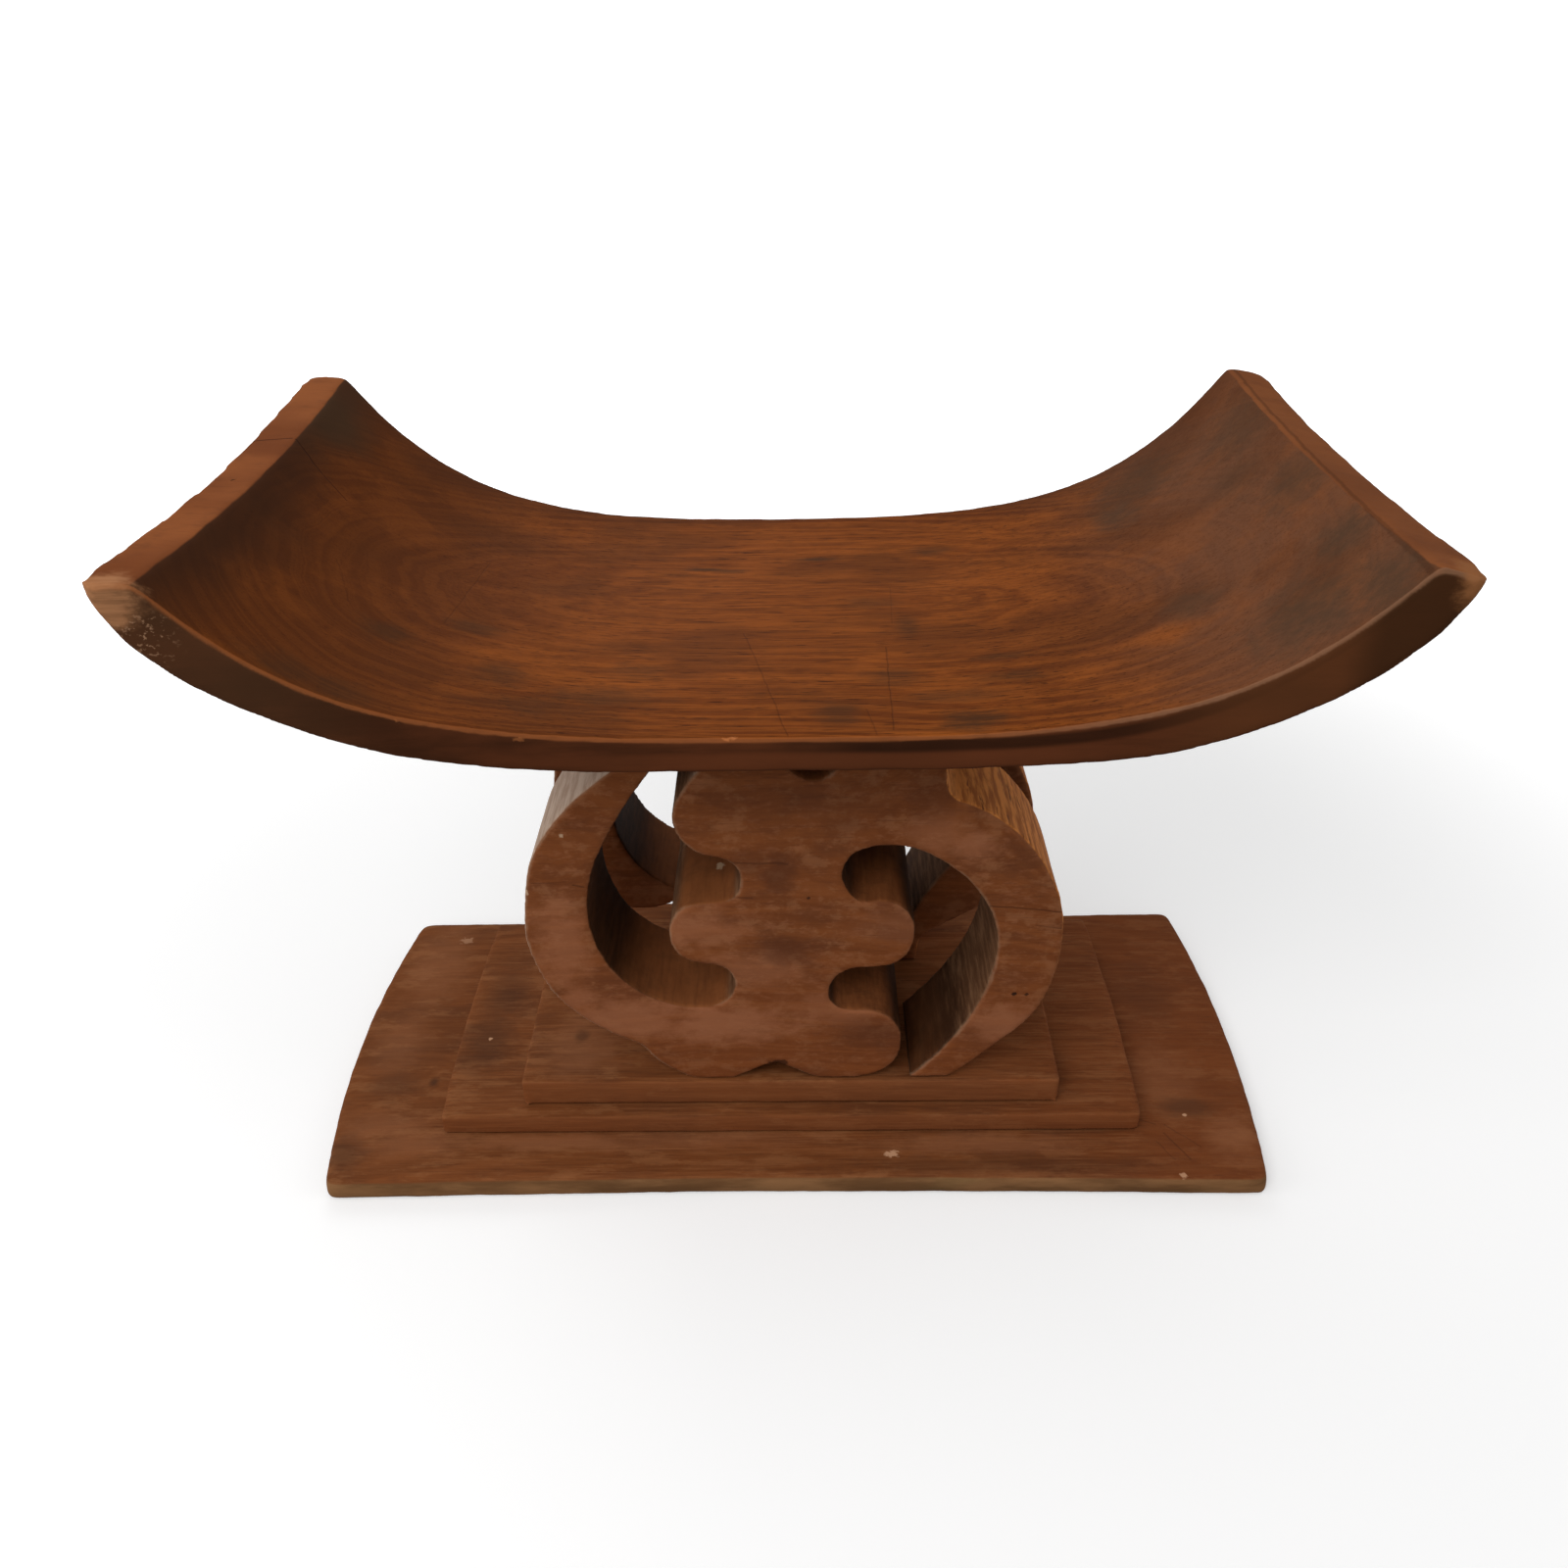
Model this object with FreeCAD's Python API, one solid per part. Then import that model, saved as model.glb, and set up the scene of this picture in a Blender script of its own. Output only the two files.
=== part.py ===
import FreeCAD, Part
import os

# Asante stool: a crescent seat on a carved two-panel support and a stepped base.
# Millimetres, +Z up, X along the seat, front towards -Y.
# The origin is on the floor, under the middle of the seat.

V = FreeCAD.Vector

# Seat
seat_length = 600.0
seat_depth = 323.0
seat_waist = 15.0            # how far each long edge curves in at the middle
seat_rim = 23.2              # width of the flat end face of each wing
seat_rise = 85.0             # the end faces' inner edges above the seat's middle
seat_left_rim_rise = 1.5     # outer edge of the left end face, above its inner edge
seat_right_rim_fall = 4.5    # outer edge of the right end face, below its inner edge
seat_thickness = 16.5        # at the middle
seat_corner_radius = 9.0
seat_flare = 6.0             # how far the worn wings leave an even curve, at most

# Support
support_width = 301.5
support_height = 220.0
panel_thickness = 68.5
channel_width = 43.5         # open space between the two panels
support_shift = 3.0          # support and base stand a little to the seat's right

# Block between the support and the seat
block_length = 196.0
block_height = 28.7          # at its middle
block_inset = 4.0            # set back from the panels' faces
block_corner_radius = 6.0

# Base, from the floor up
slab_left_reach = 277.5      # from the support's middle to the left corners
slab_right_reach = 274.5
slab_depth = 250.0           # at the left end's corners, before the front's hollow
slab_thickness = 14.0
slab_left_bow = 11.5         # how far the left end curves out
slab_right_bow = 9.0
slab_front_hollow = 3.5      # how far the front edge curves in
slab_back_skew = 7.0         # right back corner behind the left one
slab_corner_radius = 7.0
slab_edge_radius = 3.5
slab_forward = 14.0          # the base's middle lies in front of the seat's middle
middle_step_length = 418.0
middle_step_thickness = 14.0
middle_step_bow = 2.5
middle_step_ledge = 39.5     # slab that shows in front of the middle step
middle_step_back_ledge = 1.5
top_step_length = 322.0
top_step_thickness = 18.5
top_step_bow = 1.0
top_step_ledge = 7.0         # middle step that shows in front of the top step
step_corner_radius = 3.0
step_edge_radius = 1.5
foot_margin = 1.0            # top step beyond the panels' faces

# Round wooden pegs
peg_diameter = 14.0
core_peg_diameter = 16.0
peg_grip = 25.0              # length held in a panel or in the core
core_peg_grip = 30.0
seat_peg_grip = 9.0
slab_peg_grip = 8.0
step_peg_grip = 12.0
step_peg_end_margin = 26.0   # from the top step's end to a step peg
step_peg_side_margin = 30.0  # from the top step's long edges to a step peg

# Clearances
peg_clearance = 0.15         # around a peg in its hole
hole_end_gap = 0.5           # beyond each end of a peg
seat_joint_gap = 0.3         # between the seat's curved underside and the block
overrun = 5.0
meeting_distance = 0.01      # outline ends nearer than this are one point
half_share = 0.5

# Heights and depths that follow from these sizes
slab_top = slab_thickness
middle_step_top = slab_top + middle_step_thickness
support_foot = middle_step_top + top_step_thickness
support_top = support_foot + support_height
seat_underside = support_top + block_height + seat_joint_gap
seat_hollow_height = seat_underside + seat_thickness
seat_tip_height = seat_hollow_height + seat_rise
seat_lid_height = seat_tip_height + seat_left_rim_rise + seat_flare + overrun
seat_tip_spread = seat_flare / 2
slab_front = -slab_forward - slab_depth / 2
slab_back = slab_front + slab_depth
middle_step_front = slab_front + middle_step_ledge
top_step_front = middle_step_front + top_step_ledge
support_front = top_step_front + foot_margin
support_depth = 2 * panel_thickness + channel_width
support_back = support_front + support_depth
channel_front = support_front + panel_thickness
channel_back = channel_front + channel_width
top_step_back = support_back + foot_margin
middle_step_back = top_step_back + middle_step_back_ledge

# Half of the seat's curves: shares of the half length and of the rise to the tip
seat_top_shares = (
    (0.35, 0.025), (0.55, 0.115), (0.72, 0.28), (0.86, 0.55), (0.94, 0.785), (1.0, 1.0))
seat_left_under_shares = (
    (0.4, 0.03), (0.6, 0.122), (0.76, 0.288), (0.87, 0.496), (0.943, 0.71), (1.0, 1.0))
seat_right_under_shares = (
    (0.4, 0.029), (0.6, 0.11), (0.76, 0.274), (0.87, 0.487), (0.943, 0.714), (1.0, 1.0))

# The wings' flare, from the front edge to the back one. A row is a place in the depth,
# then how far the left and the right tip lie outwards and upwards, as shares of the flare.
seat_flare_shares = (
    (-1.0, (0.5, 0.1), (0.5, 0.25)), (0.0, (-0.5, -0.4), (-0.33, -0.25)),
    (1.0, (-0.33, 0.95), (-0.5, 0.72)))
flare_start_share = 0.6

# The support's carved outline: shares of half its width and of its height,
# from the middle of the top step's upper face.
# The stretches meet at sharp corners.
left_flank_shares = (
    (-0.585, 1.0), (-0.761, 0.905), (-0.877, 0.812), (-0.94, 0.738), (-0.98, 0.64),
    (-0.998, 0.548), (-0.999, 0.457), (-0.975, 0.386), (-0.925, 0.303))
left_arc_end_shares = ((-0.842, 0.231), (-0.735, 0.172), (-0.605, 0.122))
left_foot_lobe_shares = ((-0.605, 0.122), (-0.55, 0.07), (-0.478, 0.028), (-0.395, 0.0))
foot_notch_shares = ((-0.325, -0.007), (-0.255, 0.001), (-0.16, 0.034), (-0.073, 0.055))
right_column_shares = (
    (-0.073, 0.055), (0.012, 0.025), (0.095, 0.0), (0.165, -0.007), (0.25, 0.003),
    (0.343, 0.026), (0.396, 0.068), (0.414, 0.13), (0.397, 0.187), (0.344, 0.226),
    (0.264, 0.242), (0.178, 0.248), (0.137, 0.275), (0.131, 0.308), (0.152, 0.347),
    (0.205, 0.374), (0.284, 0.382), (0.362, 0.389), (0.417, 0.416), (0.448, 0.473),
    (0.44, 0.537), (0.394, 0.581), (0.324, 0.596), (0.25, 0.594), (0.202, 0.625),
    (0.18, 0.675), (0.205, 0.725), (0.268, 0.753))
right_bay_shares = (
    (0.358, 0.759), (0.45, 0.745), (0.536, 0.712), (0.609, 0.672), (0.669, 0.623),
    (0.715, 0.57))
right_arc_inner_end_shares = (
    (0.746, 0.509), (0.757, 0.445), (0.747, 0.375), (0.719, 0.295), (0.676, 0.223),
    (0.619, 0.152), (0.55, 0.085), (0.442, 0.0))
right_arc_outer_end_shares = (
    (0.597, 0.0), (0.7, 0.06), (0.795, 0.125), (0.91, 0.215), (0.979, 0.337))
right_flank_shares = (
    (1.0, 0.468), (0.98, 0.582), (0.938, 0.66), (0.863, 0.747), (0.778, 0.811),
    (0.685, 0.858), (0.583, 0.889))
right_crown_shares = ((0.583, 0.889), (0.55, 0.916), (0.54, 0.952), (0.53, 1.0))
crown_notch_shares = (
    (0.175, 1.0), (0.147, 0.977), (0.116, 0.957), (0.075, 0.949), (0.03, 0.96),
    (-0.005, 0.979), (-0.035, 1.0))
left_column_shares = (
    (-0.285, 1.0), (-0.323, 0.98), (-0.38, 0.931), (-0.416, 0.884), (-0.428, 0.845),
    (-0.419, 0.807), (-0.386, 0.766), (-0.324, 0.737), (-0.246, 0.72), (-0.2, 0.689),
    (-0.195, 0.648), (-0.22, 0.609), (-0.286, 0.594), (-0.359, 0.589), (-0.419, 0.573),
    (-0.455, 0.539), (-0.467, 0.491), (-0.452, 0.443), (-0.406, 0.411), (-0.336, 0.396),
    (-0.266, 0.382), (-0.236, 0.352), (-0.236, 0.311), (-0.266, 0.277), (-0.313, 0.26))
left_bay_shares = (
    (-0.373, 0.254), (-0.432, 0.258), (-0.499, 0.272), (-0.569, 0.297), (-0.634, 0.334),
    (-0.688, 0.381), (-0.729, 0.442), (-0.753, 0.511), (-0.755, 0.593), (-0.735, 0.673),
    (-0.693, 0.75), (-0.634, 0.827), (-0.565, 0.904), (-0.459, 1.0))

# The back panel's arcs differ: the left one swings wider and ends higher on the column,
# above a lobe of its own, and the right one ends nearer to the column's foot
back_left_flank_shares = (
    (-0.6, 1.0), (-0.785, 0.905), (-0.9, 0.812), (-0.96, 0.738), (-0.99, 0.64),
    (-1.0, 0.548), (-0.999, 0.457), (-0.975, 0.386), (-0.925, 0.303))
back_left_arc_end_shares = (
    (-0.842, 0.243), (-0.76, 0.213), (-0.673, 0.201), (-0.6, 0.205), (-0.535, 0.222),
    (-0.49, 0.232))
back_left_foot_shares = (
    (-0.49, 0.232), (-0.478, 0.145), (-0.45, 0.085), (-0.4, 0.03), (-0.345, 0.0))
back_right_arc_inner_end_shares = (
    (0.738, 0.509), (0.73, 0.445), (0.69, 0.385), (0.634, 0.329), (0.581, 0.277),
    (0.537, 0.223), (0.5, 0.165), (0.468, 0.1), (0.43, 0.0))
back_right_arc_outer_end_shares = (
    (0.53, 0.0), (0.535, 0.045), (0.555, 0.09), (0.6, 0.116), (0.654, 0.138),
    (0.716, 0.165), (0.782, 0.195), (0.868, 0.247), (0.94, 0.32), (0.985, 0.398))

# Between the panels the column goes on alone, and a lobe takes each arc's place
core_right_crown_shares = (
    (0.35, 0.768), (0.41, 0.803), (0.438, 0.86), (0.42, 0.92), (0.365, 0.975),
    (0.325, 1.0))
core_left_foot_shares = (
    (-0.39, 0.24), (-0.445, 0.2), (-0.468, 0.145), (-0.45, 0.085), (-0.4, 0.03),
    (-0.345, 0.0))

# Pegs: shares of half the support's width, and for the core pegs of its height
seat_peg_shares = (-0.22, 0.345)
foot_peg_shares = (-0.325, 0.25)
core_peg_shares = ((-0.02, 0.175), (0.0, 0.5), (-0.02, 0.835))


def spline(points):
    curve = Part.BSplineCurve()
    curve.interpolate(points)
    return curve.toShape()


def wing_points(shares, half_length, low, tip, flare):
    """Points from the seat's middle to one tip, with the flare growing towards the tip."""
    out_share, up_share = flare
    side = half_length / abs(half_length)
    points = []
    for x, z in shares:
        grown = seat_flare * max(0, (x - flare_start_share) / (1 - flare_start_share))
        points.append(V(half_length * x + side * grown * out_share, 0,
                        low + (tip - low) * z + grown * up_share))
    return points


def seat_under_points(left_flare, right_flare):
    left = wing_points(seat_left_under_shares, -seat_length / 2, seat_underside,
                       seat_tip_height + seat_left_rim_rise, left_flare)
    right = wing_points(seat_right_under_shares, seat_length / 2, seat_underside,
                        seat_tip_height - seat_right_rim_fall, right_flare)
    return left[::-1] + [V(0, 0, seat_underside)] + right


def seat_top_points(left_flare, right_flare):
    inner_edge = seat_length / 2 - seat_rim
    left = wing_points(seat_top_shares, -inner_edge, seat_hollow_height, seat_tip_height,
                       left_flare)
    right = wing_points(seat_top_shares, inner_edge, seat_hollow_height, seat_tip_height,
                        right_flare)
    return left[::-1] + [V(0, 0, seat_hollow_height)] + right


def seat_section(depth_share, left_flare, right_flare):
    """The seat's outline in one upright plane along its length."""
    under = seat_under_points(left_flare, right_flare)
    top = seat_top_points(left_flare, right_flare)
    section = Part.Wire([spline(under),
                         Part.makeLine(under[-1], top[-1]),
                         spline(top),
                         Part.makeLine(top[0], under[0])])
    section.translate(V(0, depth_share * (seat_depth / 2 + overrun), 0))
    return section


def seat_plan():
    """The seat seen from above, with curved-in long edges and rounded corners."""
    half_length = seat_length / 2 + seat_tip_spread
    half_depth = seat_depth / 2
    waist = half_depth - seat_waist
    corners = [V(x, y, 0) for x, y in ((-half_length, -half_depth), (half_length, -half_depth),
                                       (half_length, half_depth), (-half_length, half_depth))]
    edges = [Part.Arc(corners[0], V(0, -waist, 0), corners[1]).toShape(),
             Part.makeLine(corners[1], corners[2]),
             Part.Arc(corners[2], V(0, waist, 0), corners[3]).toShape(),
             Part.makeLine(corners[3], corners[0])]
    height = seat_lid_height
    prism = Part.Face(Part.Wire(edges)).extrude(V(0, 0, height))
    upright = [edge for edge in prism.Edges if is_upright(edge)]
    return prism.makeFillet(seat_corner_radius, upright)


def is_upright(edge):
    ends = [vertex.Point for vertex in edge.Vertexes]
    run = ends[-1] - ends[0]
    return abs(run.z) > abs(run.x) + abs(run.y)


def seat_board():
    sections = [seat_section(*row) for row in seat_flare_shares]
    return Part.makeLoft(sections, True, False).common(seat_plan()).Solids[0]


def under_seat_space():
    """Everything from the seat's underside upwards, lowered by the joint's gap."""
    even = (0, 0)
    under = seat_under_points(even, even)
    corner_right = V(under[-1].x, 0, seat_lid_height)
    corner_left = V(under[0].x, 0, seat_lid_height)
    edges = [spline(under), Part.makeLine(under[-1], corner_right),
             Part.makeLine(corner_right, corner_left), Part.makeLine(corner_left, under[0])]
    space = Part.Face(Part.Wire(edges))
    space.translate(V(0, support_front - overrun, -seat_joint_gap))
    return space.extrude(V(0, support_depth + 2 * overrun, 0))


def side(start, end, bow):
    """One side of a plate that runs counter-clockwise, bowed outwards by the bow."""
    if not bow:
        return Part.makeLine(start, end)
    along = (end - start).normalize()
    middle = (start + end) * half_share + V(along.y, -along.x, 0) * bow
    return Part.Arc(start, middle, end).toShape()


def bowed_plate(corners, bows, bottom, thickness):
    """A plate from its corners and the bows of its front, right, back and left side."""
    points = [V(x, y, bottom) for x, y in corners]
    following = points[1:] + points[:1]
    edges = [side(start, end, bow) for start, end, bow in zip(points, following, bows)]
    return Part.Face(Part.Wire(edges)).extrude(V(0, 0, thickness))


def step(length, front, back, bow, bottom, thickness):
    """A step with straight long edges and ends that curve out."""
    half = length / 2
    corners = ((-half, front), (half, front), (half, back), (-half, back))
    plate = bowed_plate(corners, (0, bow, 0, bow), bottom, thickness)
    return soften(plate, step_corner_radius, step_edge_radius, bottom + thickness)


def soften(plate, corner_radius, edge_radius, top):
    """Rounds a plate's upright corners and its upper rim."""
    upright = [edge for edge in plate.Edges if is_upright(edge)]
    plate = plate.makeFillet(corner_radius, upright)
    rim = [edge for edge in plate.Edges
           if all(abs(vertex.Point.z - top) < edge_radius / 10 for vertex in edge.Vertexes)]
    return plate.makeFillet(edge_radius, rim)


def on_support(shares):
    half_width = support_width / 2
    return [V(half_width * x, support_front, support_foot + support_height * z)
            for x, z in shares]


def outline_face(stretches):
    """Joins splines into one outline, with a straight edge across each break."""
    edges = []
    runs = [on_support(shares) for shares in stretches]
    for run, following in zip(runs, runs[1:] + runs[:1]):
        edges.append(spline(run))
        if run[-1].distanceToPoint(following[0]) > meeting_distance:
            edges.append(Part.makeLine(run[-1], following[0]))
    return Part.Face(Part.Wire(edges))


def bearing_band():
    """The space between the top step and the block, which trims the lobes flat."""
    return Part.makeBox(2 * support_width, support_depth + 2 * overrun, support_height,
                        V(-support_width, support_front - overrun, support_foot))


def carved(stretches, front, thickness):
    body = outline_face(stretches)
    body.translate(V(0, front - support_front, 0))
    body = body.extrude(V(0, thickness, 0))
    return body.common(bearing_band()).Solids[0]


def panel(front, left_end, right_inner_end, right_outer_end):
    """A pierced panel. The ends are the stretches where its two arcs meet the foot."""
    right_bay = right_column_shares + right_bay_shares + right_inner_end
    left_bay = left_column_shares + left_bay_shares
    return carved(left_end + (right_bay, right_outer_end + right_flank_shares,
                              right_crown_shares, crown_notch_shares, left_bay),
                  front, panel_thickness)


def front_panel():
    left_end = (left_flank_shares + left_arc_end_shares,
                left_foot_lobe_shares + foot_notch_shares)
    return panel(support_front, left_end, right_arc_inner_end_shares,
                 right_arc_outer_end_shares)


def back_panel():
    left_end = (back_left_flank_shares + back_left_arc_end_shares,
                back_left_foot_shares, foot_notch_shares)
    return panel(channel_back, left_end, back_right_arc_inner_end_shares,
                 back_right_arc_outer_end_shares)


def core():
    right_side = right_column_shares + core_right_crown_shares
    left_side = left_column_shares + core_left_foot_shares
    return carved((foot_notch_shares, right_side, crown_notch_shares, left_side),
                  channel_front, channel_width)


def seat_block():
    front = support_front + block_inset
    back = support_back - block_inset
    tall = seat_tip_height - support_top
    block = Part.makeBox(block_length, back - front, tall,
                         V(-block_length / 2, front, support_top))
    upright = [edge for edge in block.Edges if is_upright(edge)]
    block = block.makeFillet(block_corner_radius, upright)
    space = under_seat_space()
    space.translate(V(-support_shift, 0, 0))
    return block.cut(space).Solids[0]


def slab():
    corners = ((-slab_left_reach, slab_front - slab_front_hollow),
               (slab_right_reach, slab_front - slab_front_hollow),
               (slab_right_reach, slab_back + slab_back_skew),
               (-slab_left_reach, slab_back))
    bows = (-slab_front_hollow, slab_right_bow, 0, slab_left_bow)
    plate = bowed_plate(corners, bows, 0, slab_thickness)
    return soften(plate, slab_corner_radius, slab_edge_radius, slab_top)


def middle_step():
    return step(middle_step_length, middle_step_front, middle_step_back, middle_step_bow,
                slab_top, middle_step_thickness)


def top_step():
    return step(top_step_length, top_step_front, top_step_back, top_step_bow,
                middle_step_top, top_step_thickness)


# A peg is a start point, an end point and a diameter.
def seat_peg_lines():
    top = seat_underside + seat_peg_grip
    return [(V(x, y, support_top - peg_grip), V(x, y, top), peg_diameter)
            for x, y in upright_places(seat_peg_shares)]


def foot_peg_lines():
    return [(V(x, y, slab_top - slab_peg_grip), V(x, y, support_foot + peg_grip), peg_diameter)
            for x, y in upright_places(foot_peg_shares)]


def upright_places(shares):
    rows = (support_front + panel_thickness / 2,
            (channel_front + channel_back) / 2,
            support_back - panel_thickness / 2)
    return [(share * support_width / 2, row) for share in shares for row in rows]


def step_peg_lines():
    reach = top_step_length / 2 - step_peg_end_margin
    rows = (top_step_front + step_peg_side_margin, top_step_back - step_peg_side_margin)
    return [(V(x, y, slab_top - slab_peg_grip), V(x, y, middle_step_top + step_peg_grip),
             peg_diameter) for x in (-reach, reach) for y in rows]


def core_peg_lines():
    lines = []
    for x_share, z_share in core_peg_shares:
        x = x_share * support_width / 2
        z = support_foot + z_share * support_height
        lines.append((V(x, channel_front - core_peg_grip, z),
                      V(x, channel_back + core_peg_grip, z), core_peg_diameter))
    return lines


def pegs(lines):
    return [Part.makeCylinder(diameter / 2, (end - start).Length, start, end - start)
            for start, end, diameter in lines]


def holes(lines):
    bored = []
    for start, end, diameter in lines:
        way = (end - start).normalize()
        length = start.distanceToPoint(end) + 2 * hole_end_gap
        bored.append(Part.makeCylinder(diameter / 2 + peg_clearance, length,
                                       start - way * hole_end_gap, way))
    return bored


def drilled(body, *groups):
    for lines in groups:
        body = body.cut(holes(lines))
    return body.Solids[0]


def write(name, shapes, shift):
    placed = []
    for shape in shapes:
        moved = shape.copy()
        moved.translate(V(shift, 0, 0))
        placed.append(moved)
    whole = placed[0] if len(placed) == 1 else Part.makeCompound(placed)
    whole.exportStep(os.path.join("parts", name + ".step"))
    volume = sum(shape.Volume for shape in placed)
    print(name, len(placed), whole.isValid(), round(volume), whole.BoundBox)


os.makedirs("parts", exist_ok=True)

seat_lines = seat_peg_lines()
foot_lines = foot_peg_lines()
step_lines = step_peg_lines()
core_lines = core_peg_lines()

# Every piece is built about the support's middle and moved by the shift when written,
# so the seat, whose middle is the origin, starts as far to the left.
board = seat_board()
board.translate(V(-support_shift, 0, 0))
write("seat", [drilled(board, seat_lines)], support_shift)
write("seat_block", [drilled(seat_block(), seat_lines)], support_shift)
write("front_panel", [drilled(front_panel(), seat_lines, foot_lines, core_lines)],
      support_shift)
write("back_panel", [drilled(back_panel(), seat_lines, foot_lines, core_lines)],
      support_shift)
write("centre_core", [drilled(core(), seat_lines, foot_lines, core_lines)], support_shift)
write("top_step", [drilled(top_step(), foot_lines, step_lines)], support_shift)
write("middle_step", [drilled(middle_step(), foot_lines, step_lines)], support_shift)
write("base_slab", [drilled(slab(), foot_lines, step_lines)], support_shift)
write("seat_pegs", pegs(seat_lines), support_shift)
write("core_pegs", pegs(core_lines), support_shift)
write("foot_pegs", pegs(foot_lines), support_shift)
write("step_pegs", pegs(step_lines), support_shift)
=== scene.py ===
# %% [markdown]
# # An Asante stool in worn, hand-carved wood
# The real stool is carved with adze, gouge and knife: a crescent seat, a support with a
# pierced symbol, and a low stepped base. This lesson starts from the measured solids, copies
# each one, evens and softens it as years of use do, and then gives it a wood that is
# computed in the material, so the grain runs through every piece as through one log.
# %% Load the measured solids
import math

import bpy
import numpy as np
from mathutils import Matrix, Vector


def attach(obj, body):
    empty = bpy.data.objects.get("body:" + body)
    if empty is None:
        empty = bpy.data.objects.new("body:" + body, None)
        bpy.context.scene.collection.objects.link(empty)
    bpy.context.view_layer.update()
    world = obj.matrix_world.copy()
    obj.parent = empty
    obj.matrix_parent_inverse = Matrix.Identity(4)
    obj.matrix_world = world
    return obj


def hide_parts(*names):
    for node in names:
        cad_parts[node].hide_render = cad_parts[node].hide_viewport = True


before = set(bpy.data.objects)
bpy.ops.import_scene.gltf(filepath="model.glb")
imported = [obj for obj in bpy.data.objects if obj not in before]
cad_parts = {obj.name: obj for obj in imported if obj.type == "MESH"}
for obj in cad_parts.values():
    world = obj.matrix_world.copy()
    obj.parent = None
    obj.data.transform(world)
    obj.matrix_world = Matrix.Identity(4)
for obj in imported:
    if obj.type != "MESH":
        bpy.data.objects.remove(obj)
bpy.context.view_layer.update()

print("solids:", sorted(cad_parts))

# %% [markdown]
# ## Units
# The scene is in metres, but a carver thinks in millimetres, so sizes are written in
# millimetres and multiplied by this one value.
# %% Millimetres
MM = 0.001


def mm(*sizes):
    return tuple(size * MM for size in sizes)


# %% [markdown]
# ## The camera
# The photograph was taken standing close in front of the stool, a little to its right and
# well above it. A camera's turn is easiest to say in three steps: swing sideways, tip down,
# and roll about the line of sight. Multiplied in that order they give its matrix.
# %% Camera
camera_place = mm(9.3, -703.6, 625.3)
camera_swing = math.radians(0.98)
camera_tip = math.radians(90 - 31.25)
camera_roll = math.radians(-1.04)
lens_length = 31.47
film_width = 36

bpy.ops.object.select_all(action="DESELECT")
bpy.ops.object.camera_add()
camera = bpy.context.object
camera.name = "photo_camera"
camera.matrix_world = (Matrix.Translation(camera_place)
                       @ Matrix.Rotation(camera_swing, 4, "Z")
                       @ Matrix.Rotation(camera_tip, 4, "X")
                       @ Matrix.Rotation(camera_roll, 4, "Z"))
camera.data.sensor_width = film_width
camera.data.lens = lens_length
bpy.context.scene.camera = camera
print("camera looks along", camera.matrix_world.to_quaternion() @ Vector((0, 0, -1)))

# %% [markdown]
# ## Shader maths written as Python
# A material is a web of small nodes. Placing them one by one hides the idea, so this class
# wraps a node's output and lets the usual signs build the Math nodes: `1 - mask` or
# `rings * 0.5` add a node and return its output, wrapped again. Vectors go through the
# Vector Math node, because a plain Math node would turn them into one number.
# %% A wrapped socket
class Flow:
    """A number or vector that flows from one node to the next."""

    def __init__(self, finish, socket):
        self.finish = finish
        self.socket = socket

    def _join(self, operation, first, second):
        pair = (first, second)
        wide = any(isinstance(value, tuple) for value in pair) or any(
            isinstance(value, Flow) and value.socket.type == "VECTOR" for value in pair)
        kind = "ShaderNodeVectorMath" if wide else "ShaderNodeMath"
        if wide:
            pair = [(value,) * 3 if isinstance(value, (int, float)) else value
                    for value in pair]
        return self.finish.node(kind, {"operation": operation}, {0: pair[0], 1: pair[1]})

    def __add__(self, other):
        return self._join("ADD", self, other)

    def __radd__(self, other):
        return self._join("ADD", other, self)

    def __sub__(self, other):
        return self._join("SUBTRACT", self, other)

    def __rsub__(self, other):
        return self._join("SUBTRACT", other, self)

    def __mul__(self, other):
        return self._join("MULTIPLY", self, other)

    def __rmul__(self, other):
        return self._join("MULTIPLY", other, self)

    def __truediv__(self, other):
        return self._join("DIVIDE", self, other)

    def __pow__(self, other):
        return self._join("POWER", self, other)

    def __or__(self, other):
        """The larger of two masks, so that neighbouring marks don't add up."""
        return self._join("MAXIMUM", self, other)

    def __abs__(self):
        return self.finish.node("ShaderNodeMath", {"operation": "ABSOLUTE"}, {0: self})

    def length(self):
        return self.finish.node("ShaderNodeVectorMath", {"operation": "LENGTH"}, {0: self},
                                "Value")

    def dot(self, other):
        return self.finish.node("ShaderNodeVectorMath", {"operation": "DOT_PRODUCT"},
                                {0: self, 1: other}, "Value")

    def parts(self):
        """The x, y and z of a vector."""
        names = ("X", "Y", "Z")
        first = self.finish.node("ShaderNodeSeparateXYZ", {}, {0: self}, "X")
        outputs = first.socket.node.outputs
        return tuple(Flow(self.finish, outputs[name]) for name in names)

    def rise(self, low, high):
        """0 below low, 1 above high and a soft slope between. Falls if low is above high."""
        if low > high:
            return 1 - self.rise(high, low)
        return self.finish.node("ShaderNodeMapRange", {"interpolation_type": "SMOOTHSTEP"},
                                {"Value": self, "From Min": low, "From Max": high})


# %% [markdown]
# ## A finish
# This second class holds one material. Its `node` method adds any node: the settings come
# first, then the values or links of the sockets. Places are read from Object coordinates
# in millimetres, and because every piece's object sits at the origin, the same coordinates
# run through the whole stool. Waxed and dusty wood has only a faint mirror, so the
# specular level is low. The other methods draw what wood needs: noise, bands, patches,
# chips and thin lines.
# %% One material
line_core = 0.35    # the fully dark share of a line's width


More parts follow.
